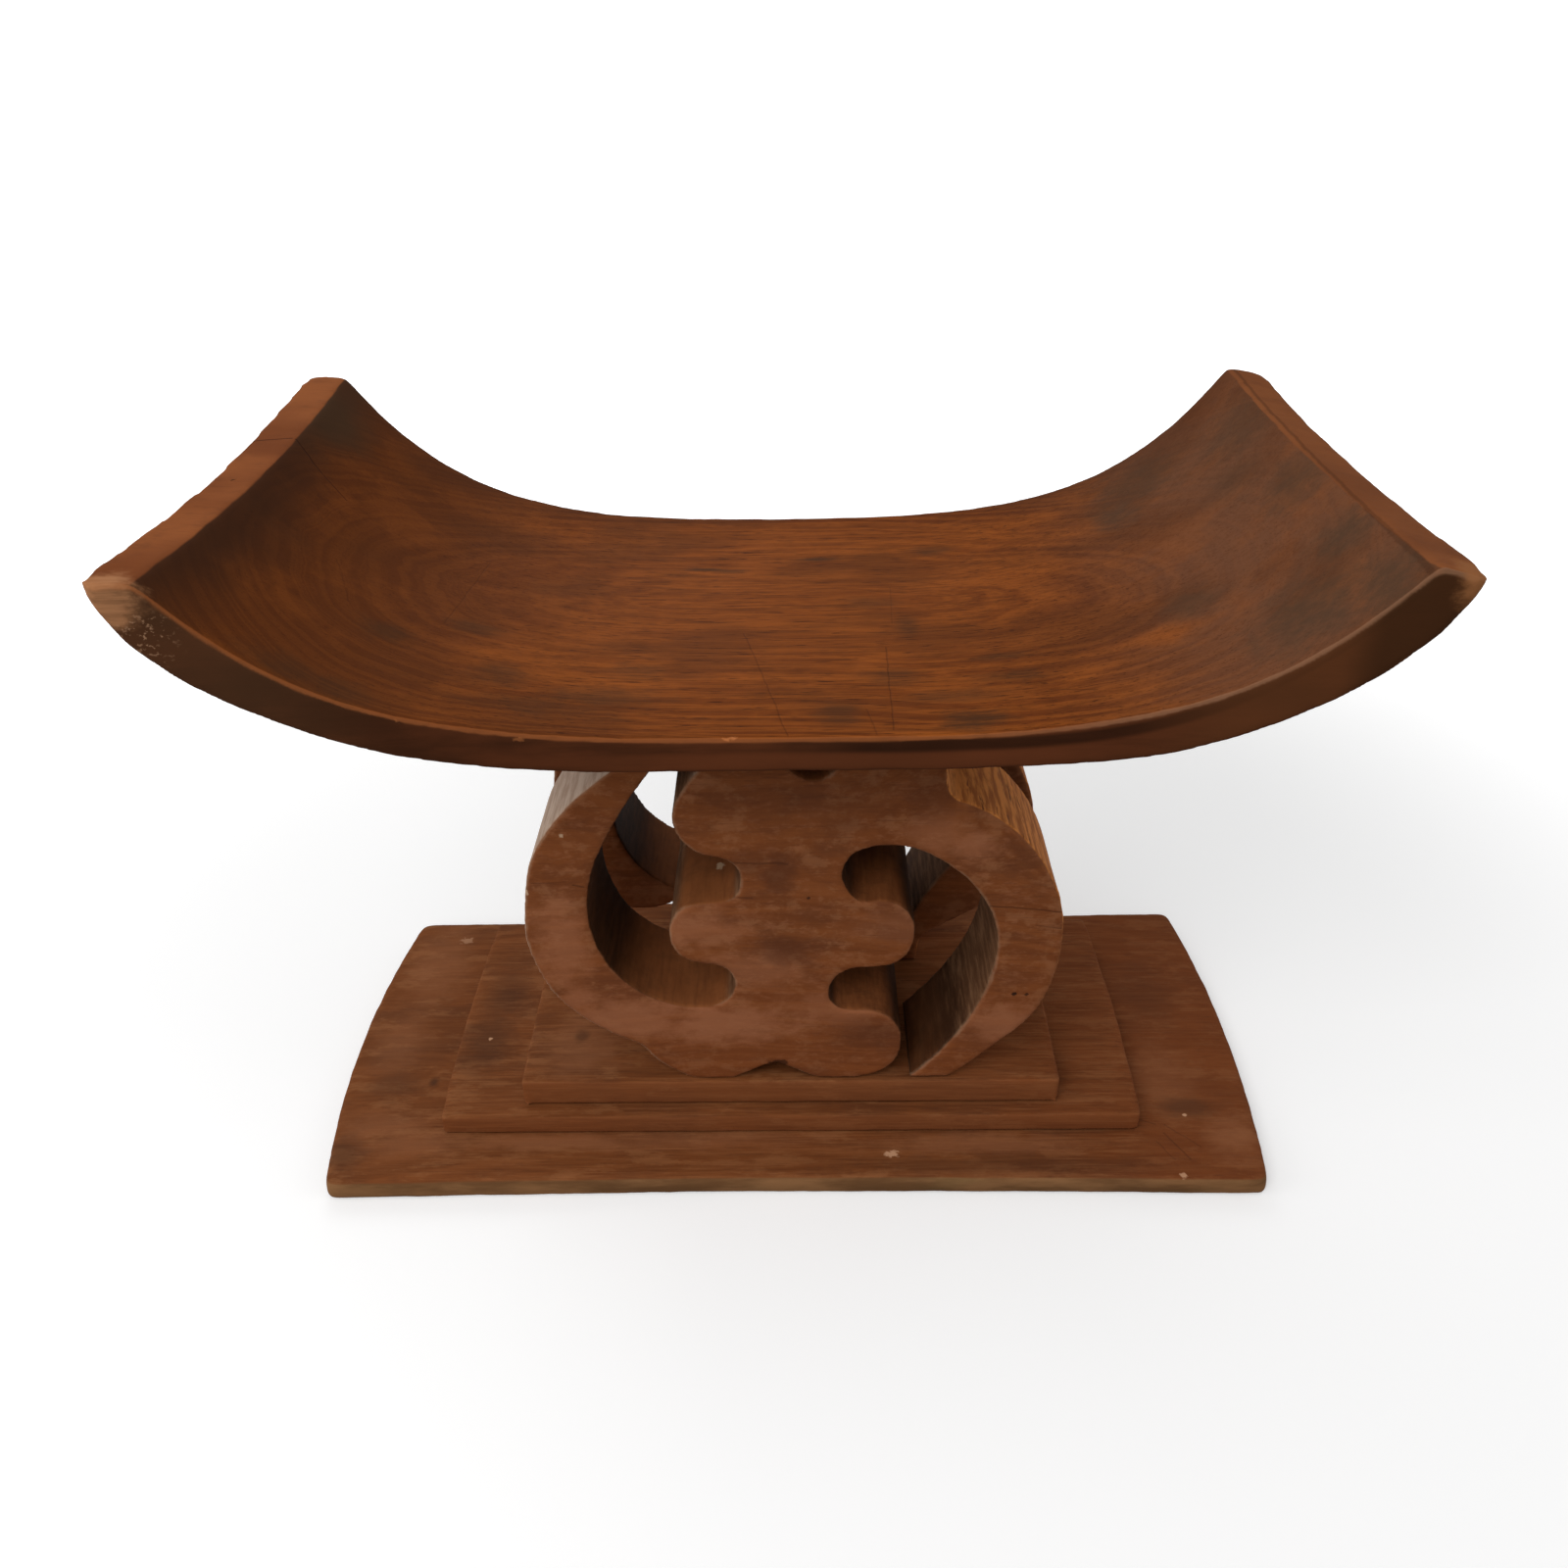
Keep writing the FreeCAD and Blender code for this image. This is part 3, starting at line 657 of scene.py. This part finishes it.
def support_finish():
    wood = Finish("support_wood", 0.06)
    grow(wood)
    edge = wood.attribute("edge")
    wall = abs(wood.facing_y).rise(0.8, 0.5)
    face = 1 - wall

    mottle = wood.noise(26, detail=5, roughness=0.6, stretch=(2.2, 1, 1), offset=4)
    speckle = wood.noise(3.2, detail=3, roughness=0.7, stretch=(2.5, 1, 1), offset=1)
    colour = wood.blend(wood.rings.rise(0.36, 0.66), face_ring_dark, face_ring_light)
    dust = wood.noise(13, detail=5, roughness=0.68, stretch=(1.5, 1, 1), offset=19)
    colour = wood.blend(mottle.rise(0.46, 0.66) * 0.55, colour, face_mottle)
    colour = wood.blend(dust.rise(0.5, 0.62) * 0.4, colour, face_dust)
    colour = wood.blend(speckle.rise(0.5, 0.72) * 0.4, colour, face_speckle)
    colour = wood.blend(wood.fibres.rise(0.5, 0.75) * 0.35, colour, face_fibre)
    colour = wood.blend(wood.vessels.rise(0.58, 0.76) * 0.35, colour, face_vessel)
    colour = wood.blend(wood.z.rise(170, 70) * 0.3, colour, face_low_red)
    colour = wood.blend(wood.blots(support_pale, 1.1, 1.3), colour, pale_patch)
    colour = wood.blend(wood.blots(support_dark, 1.1, 1.3), colour, dark_patch)
    colour = wood.blend(wall * 0.92, colour, support_wall_colour(wood))

    worn = edge.rise(0.68, 0.88) * wood.ragged_noise.rise(0.36, 0.6)
    # painted highlight on the worn edges that face left
    left_edge = edge.rise(0.62, 0.8) * wood.facing_x.rise(-0.15, -0.45)
    colour = wood.blend(worn * 0.35, colour, face_worn_edge)
    left_edge_highlight = left_edge * (wood.ragged_noise.rise(0.35, 0.65) * 0.28 + 0.08)
    colour = wood.blend(left_edge_highlight, colour, left_edge_highlight_pale)
    colour = wood.blend(wood.chips(support_flecks), colour, face_fleck)
    colour = wood.blend(wood.chips(support_pits), colour, pit_black)
    cracks = wood.scratches(support_cracks, (1, 0, 1)) * face
    colour = wood.blend(cracks, colour, face_crack)
    foot = wood.z.rise(48.5, 46.8)
    colour = wood.blend(foot * 0.5, colour, foot_shadow)

    relief = speckle * 0.5 - wood.vessels * 0.4 + wood.ragged_noise * 0.4 - cracks * 2.5
    return wood.finish_off(colour, 0.8 - speckle * 0.12, relief, 0.4, 0.35)


support_wood = support_finish()

# %% [markdown]
# ## Wear on the base
# Feet and floor cloths have scuffed the steps: dusty pale patches, dark stains, a few pale
# flecks, and scratches at the right front.
# %% Marks on the base
base_scratches = [
    ((209, -92, 28), (220, -98, 16), 0.9, 0.35), ((224, -105, 14), (235, -126, 14), 0.8, 0.4),
    ((218, -112, 14), (226, -126, 14), 0.7, 0.3), ((226, -98, 14), (244, -116, 14), 0.7, 0.3)]
base_pale = [
    ((-147, -110, 14), (60, 6, 6), 0.6), ((-230, -110, 14), (30, 9, 6), 0.35),
    ((113, -113, 14), (60, 7, 6), 0.5), ((265, -109, 14), (14, 16, 6), 0.5),
    ((-258, -20, 14), (16, 30, 6), 0.35), ((-250, 60, 14), (18, 40, 6), 0.4),
    ((-131, -60, 46.5), (20, 24, 6), 0.45), ((-60, -108, 14), (70, 7, 6), 0.4),
    ((232, -60, 14), (18, 30, 6), 0.3), ((-250, -96, 14), (24, 12, 6), 0.35)]
base_dark = [
    ((-195, -33, 28), (14, 28, 6), 0.5), ((-250, -60, 14), (16, 12, 6), 0.4),
    ((-192, 10, 28), (12, 30, 6), 0.4), ((245, -84, 14), (16, 8, 6), 0.55),
    ((-228, -58, 14), (3, 4, 6), 0.8), ((173, -100, 14), (30, 5, 6), 0.4),
    ((240, 20, 14), (18, 26, 6), 0.3), ((120, -130, 14), (80, 7, 6), 0.4),
    ((-131, -52, 46.5), (4, 5, 6), 0.6), ((-270, -120, 14), (12, 12, 6), 0.5)]
base_flecks = [
    ((59, -121, 14), (4, 2.5, 3), 0.9), ((-237, 88, 14), (4, 3, 3), 0.4),
    ((228, -138, 12), (2, 1.5, 3), 0.7), ((240, -90, 14), (1.2, 1.6, 3), 0.9),
    ((-195, -33, 28), (1.2, 1.2, 3), 0.9)]

# %% [markdown]
# ## The base's finish
# The steps are lighter and dustier than the rest, streaked along the grain and redder
# towards the right. The front edge of the slab is greenish grey, and a dark crease runs
# round the foot of each step.
# %% The base's finish
step_feet = (14, 28)
step_ring_dark = tone(108, 60, 30)
step_ring_light = tone(120, 68, 35)
step_mottle = tone(88, 52, 32)
step_dust = tone(144, 94, 58)
right_red = tone(112, 54, 25)
step_streak = tone(134, 82, 47)
step_fibre_pale = tone(144, 92, 57)
step_fibre_dark = tone(80, 45, 26)
step_speckle = tone(86, 50, 31)
step_vessel = tone(66, 37, 22)
dusty_patch = tone(146, 94, 62)
stain_patch = tone(74, 46, 30)
slab_edge_dark = tone(102, 72, 45)
slab_edge_light = tone(140, 101, 66)
slab_edge_green = tone(102, 88, 54)
riser_brown = tone(124, 70, 39)
step_worn_edge = tone(148, 96, 60)
step_fleck = tone(196, 150, 116)
crease_shadow = tone(52, 29, 17)
scratch_black = tone(48, 28, 18)


def base_finish():
    wood = Finish("base_wood", 0.06)
    grow(wood)
    edge = wood.attribute("edge")
    top = wood.facing_z.rise(0.5, 0.8)
    side = 1 - top

    mottle = wood.noise(40, detail=5, roughness=0.65, stretch=(2, 1, 1), offset=6)
    dust = wood.noise(12, detail=5, roughness=0.68, stretch=(3, 1, 1), offset=23)
    speckle = wood.noise(3.4, detail=3, roughness=0.7, stretch=(3, 1, 1), offset=8)
    colour = wood.blend(wood.rings.rise(0.34, 0.68), step_ring_dark, step_ring_light)
    colour = wood.blend(mottle.rise(0.44, 0.66) * 0.55, colour, step_mottle)
    colour = wood.blend(dust.rise(0.5, 0.62) * 0.45, colour, step_dust)
    colour = wood.blend(wood.x.rise(60, 250) * 0.4, colour, right_red)
    plain = 1 - abs(wood.x).rise(200, 230) * 0.6
    colour = wood.blend(wood.streaks.rise(0.45, 0.62) * plain * 0.4, colour, step_streak)
    colour = wood.blend(wood.fibres.rise(0.5, 0.66) * plain * 0.4, colour, step_fibre_pale)
    colour = wood.blend(wood.fibres.rise(0.46, 0.36) * plain * 0.4, colour, step_fibre_dark)
    colour = wood.blend(speckle.rise(0.55, 0.75) * 0.3, colour, step_speckle)
    colour = wood.blend(wood.vessels.rise(0.58, 0.76) * 0.3, colour, step_vessel)
    colour = wood.blend(wood.blots(base_pale, 1.0, 1.6) * top, colour, dusty_patch)
    colour = wood.blend(wood.blots(base_dark, 1.0, 1.5) * top, colour, stain_patch)

    slab_edge = side * wood.z.rise(13.5, 11) * wood.y.rise(-120, -132)
    streak = wood.noise(22, detail=4, roughness=0.6, stretch=(3, 1, 0.6), offset=11)
    edge_colour = wood.blend(streak.rise(0.38, 0.66), slab_edge_dark, slab_edge_light)
    green = wood.noise(50, detail=3, stretch=(2, 1, 1), offset=21)
    edge_colour = wood.blend(green.rise(0.5, 0.65) * 0.6, edge_colour, slab_edge_green)
    colour = wood.blend(slab_edge * 0.85, colour, edge_colour)
    riser = side * wood.z.rise(14, 16)
    colour = wood.blend(riser * 0.5, colour, riser_brown)

    worn = edge.rise(0.7, 0.9) * wood.ragged_noise.rise(0.42, 0.62)
    colour = wood.blend(worn * 0.3, colour, step_worn_edge)
    colour = wood.blend(wood.chips(base_flecks), colour, step_fleck)
    cracks = wood.scratches(base_scratches, (1, 1, 0)) * top
    for height in step_feet:
        crease = abs(wood.z - height).rise(1.2, 0.5) * side
        colour = wood.blend(crease * 0.4, colour, crease_shadow)
    colour = wood.blend(cracks * 0.8, colour, scratch_black)

    relief = speckle * 0.5 - wood.vessels * 0.5 + wood.fibres * 0.5 - cracks * 2
    return wood.finish_off(colour, 0.82 - wood.fibres * 0.12, relief, 0.4, 0.35)


base_wood = base_finish()

# %% [markdown]
# ## The pegs' finish
# The pegs are whittled from a paler, closer wood and run upright or across, so their fibres
# are only short flecks.
# %% The pegs' finish
peg_dark = tone(112, 72, 44)
peg_light = tone(142, 98, 64)
peg_fleck = tone(84, 52, 32)


def peg_finish():
    wood = Finish("peg_wood", 0.1)
    fleck = wood.noise(1.2, detail=3, stretch=(1, 1, 10))
    ring = wood.noise(6, detail=3, stretch=(1, 1, 6), offset=3)
    colour = wood.blend(ring.rise(0.35, 0.65), peg_dark, peg_light)
    colour = wood.blend(fleck.rise(0.5, 0.75) * 0.5, colour, peg_fleck)
    return wood.finish_off(colour, 0.78 - fleck * 0.1, fleck, 0.3, 0.2)


peg_wood = peg_finish()

# %% [markdown]
# ## From a measured solid to a used one
# A solid from the drawing has knife-sharp edges and long thin triangles. A copy of it is
# merged into one skin, laid out again in small even squares with a voxel remesh, and
# smoothed, which rounds the edges as hands do. The drawing's own solid is left as it is.
# %% Copy, even out and soften
def pick(piece):
    bpy.ops.object.select_all(action="DESELECT")
    piece.select_set(True)
    bpy.context.view_layer.objects.active = piece


def finish_modifier(piece, kind, **settings):
    pick(piece)
    modifier = piece.modifiers.new(kind.lower(), kind)
    for name, value in settings.items():
        setattr(modifier, name, value)
    bpy.ops.object.modifier_apply(modifier=modifier.name)


triangle_limit = 190000
weld_distance = 0.01
chamfer_from = math.radians(30)
chamfer_faces = 3
softness = 0.5


def carve(node, name, grid, rounds, chamfer=0):
    """A copy of one solid in even squares of the grid's size, with softened edges. A squares'
    grid meets a slanting knife edge in steps, so such an edge gets a chamfer first."""
    piece = bpy.data.objects.new(name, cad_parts[node].data.copy())
    bpy.context.scene.collection.objects.link(piece)
    piece.data.materials.clear()
    pick(piece)
    bpy.ops.object.mode_set(mode="EDIT")
    bpy.ops.mesh.select_all(action="SELECT")
    bpy.ops.mesh.remove_doubles(threshold=weld_distance * MM)
    bpy.ops.object.mode_set(mode="OBJECT")
    if chamfer:
        finish_modifier(piece, "BEVEL", limit_method="ANGLE", angle_limit=chamfer_from,
                        width=chamfer * MM, segments=chamfer_faces, use_clamp_overlap=False)
    finish_modifier(piece, "REMESH", mode="VOXEL", voxel_size=grid * MM)
    finish_modifier(piece, "SMOOTH", factor=softness, iterations=rounds)
    triangles = 2 * len(piece.data.polygons)
    if triangles > triangle_limit:
        finish_modifier(piece, "DECIMATE", ratio=triangle_limit / triangles)
    return piece


# %% [markdown]
# ## Where the edges are
# Wear follows the shape: outer edges are rubbed pale, and on the support those that face left
# get a painted highlight, while inner corners stay dark. How far a point stands above the
# average of its neighbours says which it is, so that number is worked out once for the whole
# mesh and kept on it for the material.
# %% Note the edges
def numbers(collection, field, width):
    values = np.empty(len(collection) * width, np.float64 if width == 3 else np.int64)
    collection.foreach_get(field, values)
    return values.reshape(-1, width)


def neighbour_mean(values, ends, count):
    total = np.zeros_like(values)
    np.add.at(total, ends[:, 0], values[ends[:, 1]])
    np.add.at(total, ends[:, 1], values[ends[:, 0]])
    return total / count


def edge_values(piece, reach, full):
    """0.5 on flat wood, towards 1 on outer edges and towards 0 in corners. Reach is how many
    rings of neighbours count, and full the height in millimetres that gives 1."""
    mesh = piece.data
    spots = numbers(mesh.vertices, "co", 3)
    facing = numbers(mesh.vertex_normals, "vector", 3)
    ends = numbers(mesh.edges, "vertices", 2)
    count = np.bincount(ends.ravel(), minlength=len(spots)).reshape(-1, 1)
    around = spots
    for _ in range(reach):
        around = neighbour_mean(around, ends, count)
    height = ((spots - around) * facing).sum(axis=1, keepdims=True)
    height = neighbour_mean(height, ends, count)
    return np.clip(0.5 + height.ravel() / (2 * full * MM), 0, 1)


def note_edges(piece):
    values = edge_values(piece, reach=2, full=0.6)
    attribute = piece.data.attributes.new("edge", "FLOAT", "POINT")
    attribute.data.foreach_set("value", values.astype(np.float32))
    print(piece.name, "edge values", np.percentile(values, (1, 50, 90, 95, 99)).round(2))


# %% [markdown]
# ## Working on a part of a piece
# A vertex group tells a modifier how strongly it acts at each point. The strengths come from
# the places of the points: `ramp` turns a distance into 0 to 1, and ramps multiplied narrow
# that to a region. A displacement without a texture then pushes the region one way.
# %% Work on a part
def finish_part(piece, where, kind, **settings):
    """Applies a modifier in the strength that a list gives for each point."""
    group = piece.vertex_groups.new(name="reach")
    for index in np.flatnonzero(where > 0.02):
        group.add([int(index)], float(where[index]), "REPLACE")
    finish_modifier(piece, kind, vertex_group="reach", **settings)
    piece.vertex_groups.clear()


def ramp(values, low, high):
    """0 at low, 1 at high and evenly between."""
    return np.clip((values - low) / (high - low), 0, 1)


def places(piece):
    """The x, y and z of every point in millimetres."""
    return (numbers(piece.data.vertices, "co", 3) / MM).T


def push(piece, where, direction, distance):
    """Moves the points that the list names along one axis, by millimetres times the list."""
    finish_part(piece, where, "DISPLACE", direction=direction, strength=distance * MM,
                mid_level=0)


def outer_edges(piece):
    return ramp(edge_values(piece, reach=3, full=0.35), 0.54, 0.74)


spread_rings = 3


def neighbours_too(piece, where):
    """The list spread over the rings of points beside it."""
    ends = numbers(piece.data.edges, "vertices", 2)
    for _ in range(spread_rings):
        spread = where.copy()
        np.maximum.at(spread, ends[:, 0], where[ends[:, 1]])
        np.maximum.at(spread, ends[:, 1], where[ends[:, 0]])
        where = spread
    return where


# %% [markdown]
# ## Worn by hand and tool
# Carved wood is never quite flat, and its edges are nibbled. Two displacements with cloud
# textures do that: slow dips over the whole surface, and small nibbles on the outer edges
# only. A finished piece then gets its finish and takes the place of its measured solid.
# %% Uneven surface and nibbled edges
cloud_depth = 2


def cloud(name, size):
    texture = bpy.data.textures.new(name, "CLOUDS")
    texture.noise_scale = size * MM
    texture.noise_depth = cloud_depth
    return texture


def wear(piece, dip, dip_size, nibble, nibble_size, rest=0.7, edge_rest=0.55):
    """The rest level of a cloud stays where it is, and what is darker sinks."""
    finish_part(piece, outer_edges(piece), "DISPLACE", mid_level=edge_rest,
                texture=cloud("edge_nibbles", nibble_size), strength=nibble * MM)
    finish_modifier(piece, "DISPLACE", mid_level=rest, texture=cloud("tool_marks", dip_size),
                    strength=dip * MM)


def hand_over(piece, node, finish):
    piece.data.materials.append(finish)
    pick(piece)
    bpy.ops.object.shade_smooth()
    note_edges(piece)
    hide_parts(node)
    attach(piece, "root")
    print(piece.name, "faces:", len(piece.data.polygons))


# %% [markdown]
# ## The seat
# One wide board, dished along its length, with flat-cut ends. It is the most handled piece,
# so its edges are the roundest, and its knife-thin rims get a chamfer first. Between the
# wings the front edge is a little thicker than drawn, so its lower part is pushed down.
# %% Seat
seat = carve("seat", "crescent_seat", grid=1.5, rounds=9, chamfer=2.0)
thicker_front = 2.6
x, y, z = places(seat)
lower_front = ramp(-y, 95, 135) * ramp(rim_height(x) - z, 6, 12) * ramp(-np.abs(x), -240, -180)
push(seat, lower_front, "Z", -thicker_front)
print("front points lowered:", np.count_nonzero(lower_front))

# %% [markdown]
# ## The seat's ends
# The ends' outer edges are worn into low waves. Their rims and tips are smoothed more than
# the rest. Smoothing draws a thin tip in, so the ends are pulled out again to the drawing's
# length and height. The front left corner is fuller underneath.
# %% The seat's ends
wave_size, wave_depth, wave_rest = 60, 1.8, 0.72
rim_rounds, tip_rounds = 12, 60
end_pull, top_pull, corner_fill = 2.0, 1.4, 3.2

finish_part(seat, ramp(np.abs(x), 245, 290), "DISPLACE", texture=cloud("end_waves", wave_size),
            strength=wave_depth * MM, mid_level=wave_rest, direction="Z")
reach = np.abs(places(seat)[0])
end_rims = neighbours_too(seat, outer_edges(seat) * ramp(reach, 276, 286))
finish_part(seat, end_rims, "SMOOTH", factor=softness, iterations=rim_rounds)
tips = ramp(reach, 286, 297) * ramp(np.abs(places(seat)[1]), 143, 154)
finish_part(seat, tips, "SMOOTH", factor=softness, iterations=tip_rounds)
x, y, z = places(seat)
push(seat, ramp(-x, 270, 300), "X", -end_pull)
push(seat, ramp(x, 270, 300), "X", end_pull)
push(seat, ramp(z, 375, 400), "Z", top_pull)
facing_z = numbers(seat.data.vertex_normals, "vector", 3).T[2]
full_corner = ramp(-x, 236, 290) * ramp(-y, 110, 150) * ramp(-facing_z, -0.6, 0.1)
push(seat, full_corner, "Z", -corner_fill)
wear(seat, dip=0.9, dip_size=70, nibble=0.6, nibble_size=16)
hand_over(seat, "seat", seat_wood)

# %% [markdown]
# ## The support
# Two pierced panels with the same symbol stand one behind the other, joined by a shorter
# block of the same column, with a riser on top that carries the seat. All four go through
# the same steps.
# %% Panels, core and riser
for node, name, grid in (("front_panel", "front_carving", 1.7),
                         ("back_panel", "back_carving", 1.8),
                         ("centre_core", "middle_column", 2.2),
                         ("seat_block", "seat_riser", 2.8)):
    piece = carve(node, name, grid, rounds=1)
    wear(piece, dip=0.7, dip_size=45, nibble=0.8, nibble_size=8)
    hand_over(piece, node, support_wood)

# %% [markdown]
# ## The base
# Three flat steps. The two upper ones reach further left than drawn and less far right, and
# the middle one comes forward. The slab's upper edges are the roundest.
# %% Steps
step_chamfer = 1.4
slab_edge_rounds = 24
steps = (("top_step", "top_tread", 1.8, 2, (5.5, -2.5, 1)),
         ("middle_step", "middle_tread", 1.8, 2, (6.5, -2, 4)),
         ("base_slab", "foot_slab", 1.5, 5, None))


def lean(piece, left, right, front):
    """Pulls both ends and the front edge outwards by millimetres, less further in."""
    x, y, z = places(piece)
    push(piece, ramp(-x, x.max() * -0.9, x.max() * 0.9), "X", -left)
    push(piece, ramp(x, x.max() * -0.9, x.max() * 0.9), "X", right)
    push(piece, ramp(-y, y.max() * -0.9, y.max() * 0.9), "Y", -front)


for node, name, grid, rounds, reaches in steps:
    piece = carve(node, name, grid, rounds, step_chamfer)
    if reaches:
        lean(piece, *reaches)
    else:
        upper_edges = neighbours_too(piece, outer_edges(piece)) * ramp(places(piece)[2], 4, 9)
        finish_part(piece, upper_edges, "SMOOTH", factor=softness, iterations=slab_edge_rounds)
    wear(piece, dip=0.6, dip_size=60, nibble=0.6, nibble_size=14, rest=1.0, edge_rest=0.9)
    hand_over(piece, node, base_wood)

# %% [markdown]
# ## The pegs
# The pegs are already the right shape, so the measured solids stay and only get their wood.
# %% Pegs
for node in ("seat_pegs", "core_pegs", "foot_pegs", "step_pegs"):
    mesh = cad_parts[node].data
    mesh.materials.clear()
    mesh.materials.append(peg_wood)

# %% [markdown]
# ## Floor
# A plain pale floor that keeps the stool's shadow. What the camera sees of it is almost
# white, while the light it throws back on the stool is a calmer grey, as in a normal room.
# %% Floor
floor_width = 90
calm_grey = tone(150, 150, 150)
floor_white = tone(230, 230, 230)
far_white = tone(255, 255, 255)
no_glow = tone(0, 0, 0)
fade_start, fade_end = 450, 1500

bpy.ops.object.select_all(action="DESELECT")
bpy.ops.mesh.primitive_plane_add(size=floor_width)
floor = bpy.context.object
floor.name = "studio_floor"


def seen(finish):
    """1 for what the camera sees, straight or in a reflection."""
    path = finish.node("ShaderNodeLightPath", {}, {}, "Is Camera Ray").socket.node
    rays = ("Is Camera Ray", "Is Glossy Ray", "Is Transmission Ray")
    camera_ray, glossy, through = (Flow(finish, path.outputs[ray]) for ray in rays)
    return camera_ray | glossy | through


floor_paint = Finish("studio_floor")
in_view = seen(floor_paint)
floor_paint.feed(floor_paint.shader.inputs["Base Color"],
                 floor_paint.blend(in_view, calm_grey, floor_white))
far = (floor_paint.spot * (1, 1, 0)).length().rise(fade_start, fade_end)
glow = floor_paint.blend(far, calm_grey, far_white)
floor_paint.feed(floor_paint.shader.inputs["Emission Color"],
                 floor_paint.blend(in_view, no_glow, glow))
floor_paint.shader.inputs["Emission Strength"].default_value = 1.0
floor_paint.shader.inputs["Roughness"].default_value = 1.0
floor.data.materials.append(floor_paint.material)

# %% [markdown]
# ## Light
# One large soft lamp in front and above, weaker ones at both sides and behind, and an even
# sky. Together they light a surface about as strongly as its colour is written.
# %% Lamps and sky
stool_middle = Vector((0, 0, 0.2))
lamps = (("front_lamp", (-0.8, -1.7, 1.7), 1.6, 26), ("left_lamp", (-1.9, -0.5, 0.9), 1.2, 8),
         ("right_lamp", (1.9, -0.5, 1.2), 1.2, 5), ("back_lamp", (-0.6, 1.9, 1.6), 1.4, 10))
sky_light, sky_seen = 0.45, 1.0


def lamp(name, place, size, watts):
    bpy.ops.object.light_add(type="AREA", location=place)
    made = bpy.context.object
    made.name = name
    made.data.shape = "DISK"
    made.data.size = size
    made.data.energy = watts
    aim = stool_middle - made.location
    made.rotation_euler = aim.to_track_quat("-Z", "Y").to_euler()


for row in lamps:
    lamp(*row)
    print(row[0], "watts:", row[3])

sky = bpy.data.worlds.new("studio_sky")
bpy.context.scene.world = sky
sky.use_nodes = True
background = sky.node_tree.nodes["Background"]
path = sky.node_tree.nodes.new("ShaderNodeLightPath")
strength = sky.node_tree.nodes.new("ShaderNodeMapRange")
strength.inputs["To Min"].default_value = sky_light
strength.inputs["To Max"].default_value = sky_seen
sky.node_tree.links.new(path.outputs["Is Camera Ray"], strength.inputs["Value"])
sky.node_tree.links.new(strength.outputs["Result"], background.inputs["Strength"])
background.inputs["Color"].default_value = (1, 1, 1, 1)
bpy.context.scene.view_settings.view_transform = "Standard"
